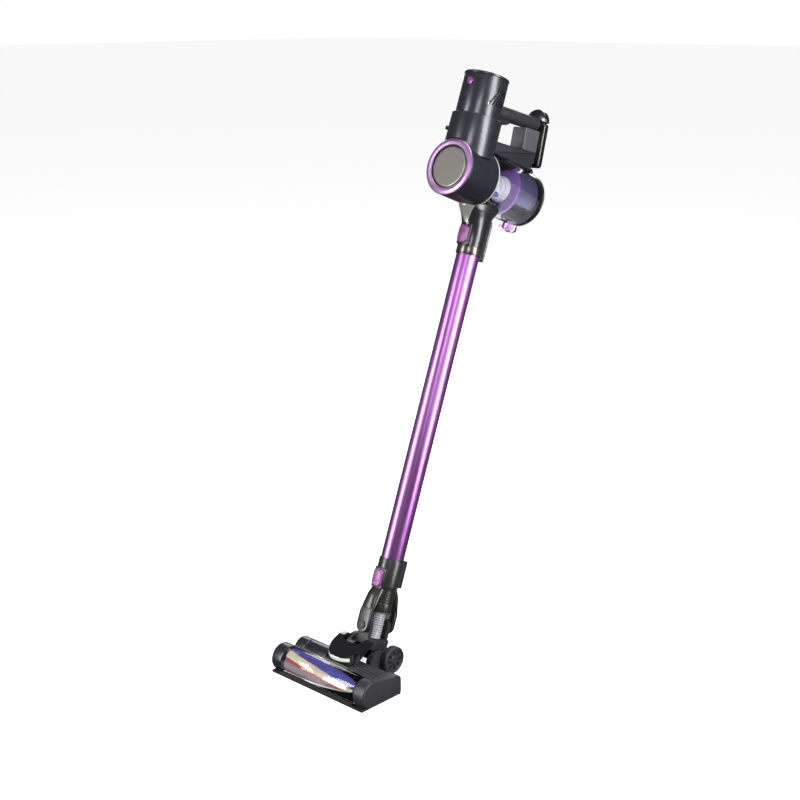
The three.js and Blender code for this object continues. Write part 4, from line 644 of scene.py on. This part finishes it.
def rocker_button(name, body, node, frame_matrix, low, pad_up):
    """A rocking button with rounded edges and a raised pad towards one end."""
    shape = Shape()
    middle = low + 17
    prism(shape, oblong(11.4, 17, 9, 10, (0, middle)), 22, 31.6, 2.6, 0, FACING_FRONT, 6)
    shift = 3.4 if pad_up else -3.4
    prism(shape, oblong(8.2, 10.5, 7, 10, (0, middle + shift)), 29, 32.4, 1.3, 0, FACING_FRONT, 5)
    piece(name, shape, frame_matrix, [M_VIOLET_BUTTON], body, [node], sharp=55)


# ---- Neck socket, fork and hose of the floor head ----------------------------------------------

BUTTON_LOW = span("socket_button", WAND)[0].z
RAIL_LOW, RAIL_HIGH = (corner.z for corner in span("socket_rail", WAND))


def socket_outline():
    points = [(12.5, SOCKET_BODY_LOW), (22, SOCKET_BODY_LOW), (22, SOCKET_BODY_LOW + 17)]
    for i in range(6):
        z = SOCKET_BODY_LOW + 17 + 4.7 * i
        points += [(20.2, z + 0.4), (20.2, z + 2.0), (22.2, z + 2.5), (22.2, z + 4.4)]
    return points + [(24, BUTTON_LOW + 3), (24, SOCKET_HIGH), (19.4, SOCKET_HIGH), (19.4, TUBE_LOW - 46),
                     (12.5, TUBE_LOW - 46)]


shape = Shape()
lathe(shape, filleted(socket_outline(), 0.6, 3), 112)
block(shape, (-13.5, 13.5), (-27, -14), (BUTTON_LOW - 2.6, BUTTON_LOW + 36.4), 2.5, 1.0)
block(shape, (-5, 5), (-25.2, -21), (BUTTON_LOW - 11, BUTTON_LOW - 6.5), 0.8, 0.5, 1)
for side in (-1, 1):
    leg = [(-12, ROLL_Z + 34), (12, ROLL_Z + 34), (14.5, ROLL_Z + 26), (14.5, ROLL_Z)]
    leg += arc((0, ROLL_Z), 14.5, 0, -180, 18)[1:] + [(-14.5, ROLL_Z + 26)]
    turn = FACING_FRONT if side < 0 else Matrix.Scale(-1, 4, (0, 1, 0)) @ FACING_FRONT
    prism(shape, leg, 31.5, 39.6, 2.2, 0, turn, 5)
    rows = smooth_keys([(78, 12, 17.0, 7), (70, 14, 19.5, 9), (58, 15, 25.0, 9.5), (42, 15.4, 30.5, 7.6),
                        (26, 14.8, 35.3, 3.7), (6, 14.4, 35.6, 3.6)], 40)
    rings = []
    for rise, half, middle, thick in rows:
        ring = []
        for k in range(48):
            turned = 2 * math.pi * k / 48
            ring.append((half * math.cos(turned), side * (middle + thick * math.sin(turned)), ROLL_Z + rise))
        rings.append(ring)
    loft(shape, rings)
piece("socket_and_fork", shape, WAND, [M_SOCKET, M_STEEL], "head_socket", ["head_socket"])
rocker_button("socket_rocker", "socket_button", "socket_button", WAND, BUTTON_LOW, True)

shape = Shape()
block(shape, (-7.5, 7.5), (24.4, 40.2), (RAIL_LOW, RAIL_HIGH), 3, 1.6)
block(shape, (-3.2, 3.2), (39.4, 40.6), (RAIL_LOW + 8, RAIL_HIGH - 4), 1, 0.4, 1)
piece("socket_contact_rail", shape, WAND, [M_MATTE, M_STEEL], "head_socket", ["socket_rail"])

for name, side in (("roll_pin_front", -1), ("roll_pin_rear", 1)):
    shape = Shape()
    turn = FACING_FRONT if side < 0 else ALONG_Y
    place = at(0, 0, ROLL_Z, turn)
    lathe(shape, disc_profile(8, 40.3, 42.3, 0.7), 48, 0, place)
    lathe(shape, ring_profile(4.6, 6.2, 42.1, 42.5, 0.15), 48, 1, place)
    lathe(shape, disc_profile(4, 19.5, 41, 0.3), 32, 0, place)
    piece(name + "_cap", shape, WAND, [M_MATTE, M_GROOVE], "head_socket", [name])

HOSE_LOW, HOSE_HIGH = ROLL_Z - 23.7, SOCKET_BODY_LOW - 0.3
HOSE_INNER_R, HOSE_GROOVE_R, HOSE_RIB = 11.1, 11.9, 2.4
HOSE_RIBS, RIB_STEPS = 12, 8
shape = Shape()
outline = [(HOSE_INNER_R, HOSE_LOW)]
for i in range(HOSE_RIBS):
    for k in range(RIB_STEPS):
        z = HOSE_LOW + (HOSE_HIGH - HOSE_LOW) * (i + k / RIB_STEPS) / HOSE_RIBS
        outline.append((HOSE_GROOVE_R + HOSE_RIB * math.sin(math.pi * k / RIB_STEPS) ** 0.7, z))
outline += [(12.5, HOSE_HIGH), (HOSE_INNER_R, HOSE_HIGH)]
lathe(shape, outline, 72)
hose = mesh_object("ribbed_hose", shape, WAND, [M_HOSE])
hose.data.shade_smooth()
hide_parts("hose")
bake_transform(hose)

# ---- Handheld unit -----------------------------------------------------------------------------

TOWER_Y = -70.7
TOWER_R = 47.6
LEDGE_Z = 103.8
HOUSING_R = 42.0
HOUSING_TOP = 177.8
TRIM_Y = -111.4
TRIM_PLACE = at(0, TRIM_Y, 0, FACING_FRONT)
BARREL_REAR = -31.0
CUP_FRONT = -30.7
FRONT_CLEAR = -151


def on_tower(x=0.0, y=0.0, z=0.0, turn=None):
    return at(x, TOWER_Y + y, z, turn)


shape = Shape()
lathe(shape, disc_profile(BARREL_R, TRIM_Y, BARREL_REAR, 1.4), 160, 0, ALONG_Y)
lathe(shape, disc_profile(40.4, TRIM_Y - 0.2, TRIM_Y + 0.2, 0.1), 96, 1, ALONG_Y)
piece("housing", shape, UNIT, [M_HOUSING, M_GROOVE], "handheld", ["main_housing"])

# The tower stops where the front trim begins. Only one closed shell can be cut cleanly.
shape = Shape()
lathe(shape, ring_profile(HOUSING_R + 0.3, TOWER_R, 30, LEDGE_Z, 1.6), 160, 0, on_tower())
trim_room = Shape()
lathe(trim_room, disc_profile(BARREL_R + 0.3, FRONT_CLEAR, TRIM_Y, 0.1), 160, 0, ALONG_Y)
piece("motor_tower", shape, UNIT, [M_HOUSING], "handheld", (), cutters=[trim_room])

shape = Shape()
trim = [(40.3, 0.3), (53.3, 0.3), (53.3, 1.4), (51.6, 3.0), (46.3, 4.3), (41.4, 3.8), (40.3, 2.9)]
lathe(shape, filleted(trim, 0.8, 4), 160, 0, TRIM_PLACE)
lathe(shape, ring_profile(52.2, 53.35, 0.2, 1.5, 0.3), 160, 1, TRIM_PLACE)
piece("ring_light", shape, UNIT, [M_VIOLET_RING, M_VIOLET_RIM], "handheld", ["front_ring"])

shape = Shape()
lathe(shape, [(0, 0.3), (38.3, 0.3), (38.3, 1.5), (37.6, 2.1), (36.6, 2.3), (34, 2.2), (0, 2.9)], 128, 0,
      TRIM_PLACE)
piece("front_disc_face", shape, UNIT, [M_DISC], "handheld", ["front_disc"])


def slits(side):
    cutters = Shape()
    for i in range(6):
        y = (i - 2.5) * 6.4 + 3
        turn = spin(-24, "X")
        outline = oblong(1.3, 17.5, 1.25, 5)
        placed = at(side * 41, TOWER_Y + y, LEDGE_Z + 38, turn @ Matrix.Rotation(math.pi / 2, 4, "Y"))
        upright = [(b, a) for a, b in outline]
        prism(cutters, upright, -8, 8, 0.2, 0, placed, 2)
    return cutters


shape = Shape()
lathe(shape, ring_profile(HOUSING_R - 2.5, HOUSING_R, LEDGE_Z - 10, HOUSING_TOP, 0.7), 144, 0, on_tower())
piece("motor_shell", shape, UNIT, [M_HOUSING], "handheld", ["motor_housing"],
      cutters=[slits(1), slits(-1)])

shape = Shape()
lathe(shape, disc_profile(HOUSING_R + 0.7, HOUSING_TOP + 0.3, HOUSING_TOP + 4.6, 1.2), 144, 0, on_tower())
vents = Shape()
for i in range(10):
    placed = on_tower(turn=spin(36 * i, "Z")) @ at(22, 0, 0)
    prism(vents, oblong(8, 2, 1.9, 5), HOUSING_TOP - 2, HOUSING_TOP + 8, 0.2, 0, placed, 2)
piece("motor_top", shape, UNIT, [M_HOUSING], "handheld", ["motor_cap"], cutters=[vents])

BUTTON_PLACE = at(0, TOWER_Y, 161.3, FACING_FRONT)
shape = Shape()
lathe(shape, [(0, 36), (6.6, 36), (6.6, HOUSING_R + 1.2), (6.2, HOUSING_R + 1.9), (4.5, HOUSING_R + 2.4),
              (0, HOUSING_R + 2.7)], 64, 0, BUTTON_PLACE)
lathe(shape, ring_profile(6.7, 7.5, 37, HOUSING_R + 1.6, 0.4), 64, 1, BUTTON_PLACE)
piece("power_key", shape, UNIT, [M_VIOLET_BUTTON, M_VIOLET_RIM], "power_button", ["power_button"])

KNOB_TURN = spin(-134, "Z")
shape = Shape()
lathe(shape, disc_profile(3.8, 43, 52, 0.7), 48, 0, on_tower(z=72.8, turn=KNOB_TURN @ ALONG_X))
piece("side_knob_cap", shape, UNIT, [M_MATTE], "side_knob", ["side_knob"])


# Neck: round at the wand, spreading to a saddle under the barrel.
NECK_LOW = -124.2
# Half width, reach to the front, reach to the rear, height.
NECK_KEYS = [(24, 24, 24, 0), (24, 24, 24, 20), (24.6, 27.5, 25, 38), (26, 35, 27.5, 52),
             (28.4, 44.5, 33.5, 64), (30, 50, 40, 72), (32, 50, 47, 88)]
NECK_ROWS = smooth_keys(NECK_KEYS, 40)


def neck_ring(row, count=96):
    half, front, rear, z = row
    ring = []
    for i in range(count):
        angle = 2 * math.pi * i / count
        reach = front if math.sin(angle) < 0 else rear
        ring.append((half * math.cos(angle), reach * math.sin(angle), NECK_LOW + z))
    return ring


shape = Shape()
loft(shape, [neck_ring(row) for row in NECK_ROWS])
block(shape, (-13.5, 13.5), (-27, -14), (NECK_LOW, NECK_LOW + 39), 2.5, 1.0)
piece("neck_skin", shape, UNIT, [M_NECK], "handheld", ["neck"], sharp=45)


def panel_point(across, height, lift):
    """A point on the neck's front at a height above its lower end."""
    above = next(i for i, row in enumerate(NECK_ROWS) if i and row[3] >= height)
    low, high = NECK_ROWS[above - 1], NECK_ROWS[above]
    share = (height - low[3]) / (high[3] - low[3])
    half, front = (low[i] + (high[i] - low[i]) * share for i in (0, 1))
    away = front * math.sqrt(max(0.0, 1 - (across / half) ** 2))
    return (across, -away - lift, NECK_LOW + height)


PANEL_LOW, PANEL_RISE = 41, 31
PANEL_NARROW, PANEL_WIDE = 3, 19.6
PANEL_COLUMNS, PANEL_ROWS = 17, 20


def panel_points(lift):
    """One face of the panel, row by row from its narrow lower end."""
    points = []
    for r in range(PANEL_ROWS):
        height = PANEL_LOW + PANEL_RISE * r / (PANEL_ROWS - 1)
        half = PANEL_NARROW + (PANEL_WIDE - PANEL_NARROW) * r / (PANEL_ROWS - 1)
        points += [panel_point(-half + 2 * half * c / (PANEL_COLUMNS - 1), height, lift)
                   for c in range(PANEL_COLUMNS)]
    return points


def panel_shape():
    """The outer and inner faces of the panel, joined by a wall round the rim."""
    columns, rows = PANEL_COLUMNS, PANEL_ROWS
    outer, inner = panel_points(0.9), panel_points(-1.0)
    count = len(outer)
    front = [(r * columns + c, r * columns + c + 1, (r + 1) * columns + c + 1, (r + 1) * columns + c)
             for r in range(rows - 1) for c in range(columns - 1)]
    back = [tuple(count + i for i in reversed(face)) for face in front]
    rim = list(range(columns)) + [r * columns + columns - 1 for r in range(1, rows)]
    rim += [(rows - 1) * columns + c for c in range(columns - 2, -1, -1)]
    rim += [r * columns for r in range(rows - 2, 0, -1)]
    walls = [(a, b, count + b, count + a) for a, b in zip(rim, rim[1:] + rim[:1])]
    shape = Shape()
    shape.add(outer + inner, front + back + walls)
    return shape


# This light plate on the neck's front is a painted highlight. Its brighter silver stands in for the glossy
# reflection on the front facet.
shape = panel_shape()
piece("neck_highlight_plate", shape, UNIT, [M_NECK_HIGHLIGHT], "handheld", ["neck_panel"], sharp=50)
rocker_button("neck_rocker", "neck_button", "neck_button", UNIT, NECK_LOW + 2.4, False)

NECK_RAIL_LOW, NECK_RAIL_HIGH = (corner.z for corner in span("neck_rail", UNIT))
shape = Shape()
block(shape, (-7.5, 7.5), (24.4, 40.2), (NECK_RAIL_LOW, NECK_RAIL_HIGH), 3, 1.6)
for side in (-1, 1):
    block(shape, (side * 7.4 - 0.5, side * 7.4 + 0.5), (36, 39.6), (NECK_RAIL_LOW + 6, NECK_RAIL_HIGH - 4),
          0.3, 0.2, 1)
piece("neck_contact_rail", shape, UNIT, [M_MATTE, M_STEEL], "handheld", ["neck_rail"])

# ---- Dust cup, cyclone and lid -----------------------------------------------------------------

shape = Shape()
lathe(shape, ring_profile(51.3, BARREL_R, CUP_FRONT, 113.5, 0.7), 144, 0, ALONG_Y)
lathe(shape, ring_profile(51.6, BARREL_R + 0.3, CUP_FRONT, -28.6, 0.4), 144, 1, ALONG_Y)
lathe(shape, ring_profile(51.6, BARREL_R + 0.4, 107.5, 113.4, 0.6), 144, 2, ALONG_Y)
block(shape, (-3, 3), (82, 88), (-64, -51.5), 1, 0.5, 2)
block(shape, (-5, 5), (107, 113), (51.8, 57.8), 1, 0.5, 2)
piece("cup_shell", shape, UNIT, [M_CLEAR_CUP, M_SEAL, M_BLACK], "cup", ["dust_cup"])

shape = Shape()
lathe(shape, ring_profile(34, 36, CUP_FRONT, 34, 0.6), 112, 0, ALONG_Y)
for i in range(5):
    lathe(shape, ring_profile(35.6, 36.7, -22 + 10.5 * i, -20.6 + 10.5 * i, 0.4), 112, 0, ALONG_Y)
piece("cyclone_cone", shape, UNIT, [M_FROST_AND_HIGHLIGHT], "handheld", ["cyclone_body"])

shape = Shape()
lathe(shape, ring_profile(32, 50.4, 34.3, 40.9, 1.0), 128, 0, ALONG_Y)
piece("cyclone_band", shape, UNIT, [M_VIOLET_CYCLONE], "handheld", ["cyclone_ring"])

SCREEN_R = 44
SCREEN_FLOOR = 22
floor_angle = math.degrees(math.asin(SCREEN_FLOOR / SCREEN_R))
screen = arc((0, 0), SCREEN_R, -floor_angle, 180 + floor_angle, 80)
shape = Shape()
prism(shape, screen, -105.2, -41.2, 0.8, 0, FACING_FRONT)
piece("cyclone_screen", shape, UNIT, [M_SCREEN], "handheld", ["mesh_screen"])

shape = Shape()
lathe(shape, disc_profile(BARREL_R, 113.8, 118.3, 1.6), 144, 0, ALONG_Y)
lathe(shape, ring_profile(30, 46, 117.6, 118.5, 0.4), 112, 1, ALONG_Y)
for low, high in ((-11, -5.4), (5.4, 11)):
    lathe(shape, disc_profile(3, low, high, 0.4), 32, 0, at(0, 112, 57.8, ALONG_X))
    block(shape, (low, high), (111, 117.3), (49, 57), 0.8, 0.4)
piece("lid_disc", shape, UNIT, [M_BLACK, M_MATTE], "lid", ["bin_lid"])

side = [(79, -58.5), (81, -55.5), (112, -54.5), (112, -65.5), (108, -68.5), (83, -68.5), (79, -64.5)]
shape = Shape()
prism(shape, filleted(side, 2, 4), -10, 10, 1.2, 0, ALONG_X)
window = Shape()
block(window, (-3.4, 3.4), (81, 97), (-72, -50), 1.2, 0.2)
piece("latch_lever", shape, UNIT, [M_LILAC_CLEAR], "bin_latch", ["bin_latch"],
      cutters=[window])

# ---- Handle and battery ------------------------------------------------------------------------

GRIP_R = 13.2
GRIP_FRONT, GRIP_END = -31.0, 100.5
SEAM = 0.15
for side, name in ((1, "left"), (-1, "right")):
    outline = [(SEAM, -GRIP_R)] + arc((0, 0), GRIP_R, -89.3, 89.3, 36) + [(SEAM, GRIP_R)]
    outline = [(side * x, y) for x, y in outline]
    shape = Shape()
    prism(shape, outline, GRIP_FRONT, GRIP_END, 0.5, 0, ALONG_Y)
    piece(f"grip_{name}", shape, GRIP, [M_MATTE], "handheld", [f"grip_shell_{name}"], sharp=40)

side = [(-16.5, -15.2), (-11.5, -20.2), (7.5, -20.2), (16.5, -16.2), (16.5, -9.2), (-16.5, -9.2)]
shape = Shape()
prism(shape, filleted(side, 2.4, 5), -6.5, 6.5, 1.5, 0, ALONG_X)
piece("trigger_key", shape, GRIP, [M_ARM], "trigger", ["trigger"])

shape = Shape()
front_top = GRIP_ORIGIN.z / MM - 55.8 / math.cos(GRIP_TILT)
side = [(-28, BARREL_R + 0.9), (GRIP_END, BARREL_R + 0.9), (106, front_top + 106 * math.tan(GRIP_TILT) - 0.6),
        (-28, front_top - 28 * math.tan(GRIP_TILT))]
prism(shape, filleted(side, 1.5, 4), -17, 17, 2.0, 0, ALONG_X)
piece("arm_body", shape, UNIT, [M_ARM], "handheld", ["base_arm"])

shape = Shape()
block(shape, (-16.5, 16.5), (56, GRIP_END), (-55.5, -13.6), 3, 1.4)
piece("battery_block", shape, GRIP, [M_BATTERY], "handheld", ["battery_housing"])

BACK_R, BACK_TOP, BACK_LOW = 25, 4.8, -82.8
lower = filleted([(-BACK_R, 4), (-BACK_R, BACK_LOW), (BACK_R, BACK_LOW), (BACK_R, 4)], 8, 8)[1:-1]
outline = arc((0, BACK_TOP), BACK_R, 0, 180, 40) + lower
shape = Shape()
prism(shape, outline, -114, -101, 2.6, 0, FACING_FRONT, 6)
lathe(shape, ring_profile(11, 12, 113.6, 114.2, 0.2), 64, 1, at(0, 0, BACK_TOP, ALONG_Y))
piece("battery_back", shape, GRIP, [M_BLACK, M_GROOVE], "battery", ["battery_cover"])

# ---- Floor head --------------------------------------------------------------------------------

BRUSH = (-23.0, 23.5)
MOTOR = (29.0, 23.0)
WINDOW_HALF = 93.7
CAP_INNER, CAP_OUTER = 94, 120
SOLE_TOP = 4.3
BAY_END = -37.6
PAST_ENDS = 130
PILE_HALF = 88.5
PILE_TWIST = 0.3                                                 # degrees for each millimetre along the roll
PLUSH_R, BRISTLE_R = 20.6, 19.2
HOOD_Y, HOOD_R = 35, 36
LAMP_START, LAMP_END = 221.3, 318.7
AXLE_Y, WHEEL_R = 102, 26
BRUSH_PLACE = at(0, *BRUSH, ALONG_X)
MOTOR_PLACE = at(0, *MOTOR, ALONG_X)

outline = arc(BRUSH, 26.3, 70, 212, 64) + arc(BRUSH, 24.6, 212, 70, 64)
shape = Shape()
prism(shape, outline, -WINDOW_HALF, WINDOW_HALF, 0.3, 0, ALONG_X, 2)
piece("brush_glass", shape, HEAD, [M_WINDOW], "floor_head", ["brush_window"])


def band_slot(phi):
    """Material number of the brush's pile at an angle above the front, in degrees."""
    phi = phi % 180
    if phi < 12:
        return 2
    if phi < 52:
        return 1
    if phi < 112:
        return 0
    return 3


random.seed(7)
shape = Shape()
long_steps, round_steps = 150, 120
points, faces, slots = [], [], []
for i in range(long_steps + 1):
    x = -PILE_HALF + 2 * PILE_HALF * i / long_steps
    for j in range(round_steps):
        phi = 360 * j / round_steps
        tall = PLUSH_R if band_slot(phi + x * PILE_TWIST) in (1, 3) else BRISTLE_R
        radius = tall + random.uniform(-0.45, 0.45)
        turn = math.radians(180 - phi)
        points.append((x, BRUSH[0] + radius * math.cos(turn), BRUSH[1] + radius * math.sin(turn)))
for i in range(long_steps):
    x = -PILE_HALF + 2 * PILE_HALF * (i + 0.5) / long_steps
    for j in range(round_steps):
        k = (j + 1) % round_steps
        a, b = i * round_steps, (i + 1) * round_steps
        faces.append((a + j, b + j, b + k, a + k))
        slots.append(band_slot(360 * (j + 0.5) / round_steps + x * PILE_TWIST))
faces.append(tuple(range(round_steps)))
faces.append(tuple(long_steps * round_steps + j for j in reversed(range(round_steps))))
shape.points = [Vector(p) for p in points]
shape.faces = faces
shape.slots = slots + [3, 3]
for i in range(700):
    x = random.uniform(-87, 87)
    base_phi = random.choice((50, 230)) - x * PILE_TWIST + random.uniform(-2.5, 2.5)
    turn = math.radians(180 - base_phi)
    out = Vector((random.uniform(-0.12, 0.12), math.cos(turn), math.sin(turn)))
    foot = Vector((x, BRUSH[0], BRUSH[1]))
    sweep(shape, [foot + out * 18, foot + out * 20.4, foot + out * 22.0], 0.22, 4, 2 if x < 0 else 0)
for low, high, radius in ((-116, -100, 11), (88, 99, 4)):
    lathe(shape, disc_profile(radius, low, high, 0.4), 48, 4, BRUSH_PLACE)
PILE_MATERIALS = [M_BRISTLE_BLUE, M_PLUSH_CREAM, M_BRISTLE_RED, M_PLUSH_MAUVE, M_MATTE]
piece("brush_pile", shape, HEAD, PILE_MATERIALS, "brush", ["brush_roll", "bristle_strip"], sharp=60)

deck = [(-13.4, SOLE_TOP), (-13.4, 48.2), (-6.4, 46.7), (8.6, 34)]
for i in range(4):
    y = 12 + 8 * i
    deck += [(y, 34), (y + 1, 35.1), (y + 2.4, 35.1), (y + 3.4, 34)]
deck += [(46, 34), (51, 29), (51, SOLE_TOP)]
chamber = Shape()
lathe(chamber, disc_profile(24.6, -PAST_ENDS, PAST_ENDS, 0.1), 96, 0, BRUSH_PLACE)
motor_bay = Shape()
lathe(motor_bay, disc_profile(22.4, -PAST_ENDS, BAY_END, 0.1), 96, 0, MOTOR_PLACE)
bay_rear = Shape()
block(bay_rear, (-PAST_ENDS, BAY_END), (29, 60), (0, 80), 0.5, 0.1)
shape = Shape()
prism(shape, filleted(deck, 0.7, 3), -WINDOW_HALF, WINDOW_HALF, 0.5, 0, ALONG_X, 2)
piece("deck_cover", shape, HEAD, [M_MATTE], "floor_head", ["deck"],
      cutters=[chamber, motor_bay, bay_rear])

shape = Shape()
lathe(shape, disc_profile(22, -WINDOW_HALF, -38, 1.8), 112, 0, MOTOR_PLACE)
under = Shape()
block(under, (-PAST_ENDS, 0), (-60, 80), (-30, SOLE_TOP), 1, 0.1)
piece("brush_motor_shell", shape, HEAD, [M_HOUSING], "floor_head", ["brush_motor_housing"],
      cutters=[under])

shape = Shape()
lathe(shape, disc_profile(26.5, -CAP_OUTER, -CAP_INNER, 2.2), 112, 0, BRUSH_PLACE)
lathe(shape, disc_profile(22, -CAP_OUTER, -CAP_INNER, 2.2), 112, 0, MOTOR_PLACE)
block(shape, (0.4 - CAP_OUTER, -CAP_INNER), (-39, 45), (6, 39), 2, 1.6)
floor_cut = Shape()
block(floor_cut, (-PAST_ENDS, PAST_ENDS), (-90, 90), (-40, SOLE_TOP), 1, 0.1)
piece("belt_case", shape, HEAD, [M_HOUSING], "floor_head", ["belt_cover"], cutters=[floor_cut])

# The bearing is a real part, but its light grey-green is a painted highlight. It stands in for the bright glint at
# the front of the +x end cap, seen between the window's end and the cap.
shape = Shape()
lathe(shape, ring_profile(4.4, 10, 90.5, 101, 0.6), 64, 0, BRUSH_PLACE)
piece("bearing_cap_highlight", shape, HEAD, [M_FROST_AND_HIGHLIGHT], "floor_head", ["brush_bearing"])

side = [(51, SOLE_TOP), (51, 29.5)] + arc((41, 29.5), 10, 0, 81, 10)[1:] + arc(BRUSH, 26.5, 81, 220, 56)
side += [(-33, SOLE_TOP)]
shape = Shape()
prism(shape, side, CAP_INNER, CAP_OUTER, 2.2, 0, ALONG_X, 6)
piece("end_cap", shape, HEAD, [M_MATTE], "floor_head", ["side_cap"])

lip = [(-51, SOLE_TOP), (-43, SOLE_TOP), (-45, 8.3), (-49.5, 8.8), (-51, 7.3)]
shape = Shape()
prism(shape, filleted(lip, 0.8, 3), -WINDOW_HALF, WINDOW_HALF, 0.4, 0, ALONG_X, 2)
block(shape, (-WINDOW_HALF, -70), (-51.3, -50.4), (5.4, 6.4), 0.3, 0.2, 1)
piece("bumper", shape, HEAD, [M_RUBBER, M_RED_LINE], "floor_head", ["bumper_strip"])

plan = [(HOOD_R, 68), (-HOOD_R, 68), (-HOOD_R, HOOD_Y)] + arc((0, HOOD_Y), HOOD_R, 180, 360, 56)[1:]
profile = [(-2, 33.4), (-2, 50.4), (5, 55.4), (47, 72.6), (60, 73.0), (68, 66.0), (44, 54.4), (19, 38.4)]
shape = Shape()
prism(shape, plan, 20, 100, 0.1, 0, None, 1)
keep = Shape()
prism(keep, filleted(profile, 5, 6), -40, 40, 0.1, 0, ALONG_X, 1)
hood = mesh_object("hood_shell", shape, HEAD, [M_BLACK])
carve(hood, keep, operation="INTERSECT")
notch = Shape()
prism(notch, filleted([(-24, 38), (24, 38), (24, 90), (-24, 90)], 12, 8), 0, 120, 0.2, 0, None, 2)
carve(hood, notch)
soften(hood, 2.2, 5, 35)
finish_piece(hood, "floor_head", ["hood"], 38)

band = arc((0, HOOD_Y), HOOD_R + 0.5, LAMP_START, LAMP_END, 48)
band += arc((0, HOOD_Y), HOOD_R - 2.4, LAMP_END, LAMP_START, 48)
shape = Shape()
prism(shape, band, 45.7, 52.7, 0.9, 0, None, 4)
piece("lamp_band", shape, HEAD, [M_LENS], "floor_head", ["led_lens"])

for name, body, side in (("wheel_left", "left_wheel", 1), ("wheel_right", "right_wheel", -1)):
    profile = [(4.4, 41.5), (25, 41.5), (WHEEL_R, 42.5), (WHEEL_R, 53), (25, 54.6), (23.6, 55), (21, 54.9),
               (20, 53.4), (8.4, 53.4), (7.4, 55), (4.4, 55)]
    shape = Shape()
    turn = at(0, AXLE_Y, WHEEL_R, ALONG_X if side > 0 else Matrix.Scale(-1, 4, (1, 0, 0)) @ ALONG_X)
    lathe(shape, filleted(profile, 0.6, 3), 96, 0, turn)
    lathe(shape, ring_profile(24.8, 26.05, 43.4, 52, 0.4), 96, 1, turn)
    spokes = Shape()
    for i in range(8):
        placed = turn @ spin(45 * i, "Z") @ at(14.2, 0, 0)
        prism(spokes, oblong(4.6, 1.7, 1.6, 5), 48, 60, 0.2, 0, placed, 2)
    piece(name + "_tyre", shape, HEAD, [M_MATTE, M_RUBBER], body, [name], cutters=[spokes])

# ---- Pieces carried over from the frame --------------------------------------------------------

CARRIED = {
    "wand_lower_collar": M_GUNMETAL, "elbow": M_MATTE, "sole_plate": M_MATTE, "inlet_duct": M_VIOLET_CYCLONE,
    "cup_seal": M_RUBBER, "fan_motor": M_STEEL, "fan_impeller": M_MATTE, "control_board": M_BOARD,
    "exhaust_filter": M_FILTER, "battery_case": M_MATTE, "battery_cell_1": M_CELL, "battery_cell_2": M_CELL,
    "battery_cell_3": M_CELL, "brush_motor": M_STEEL, "drive_belt": M_RUBBER, "motor_pulley": M_STEEL,
}
for name, material in CARRIED.items():
    data = NODES[name].data
    data.materials.clear()
    data.materials.append(material)
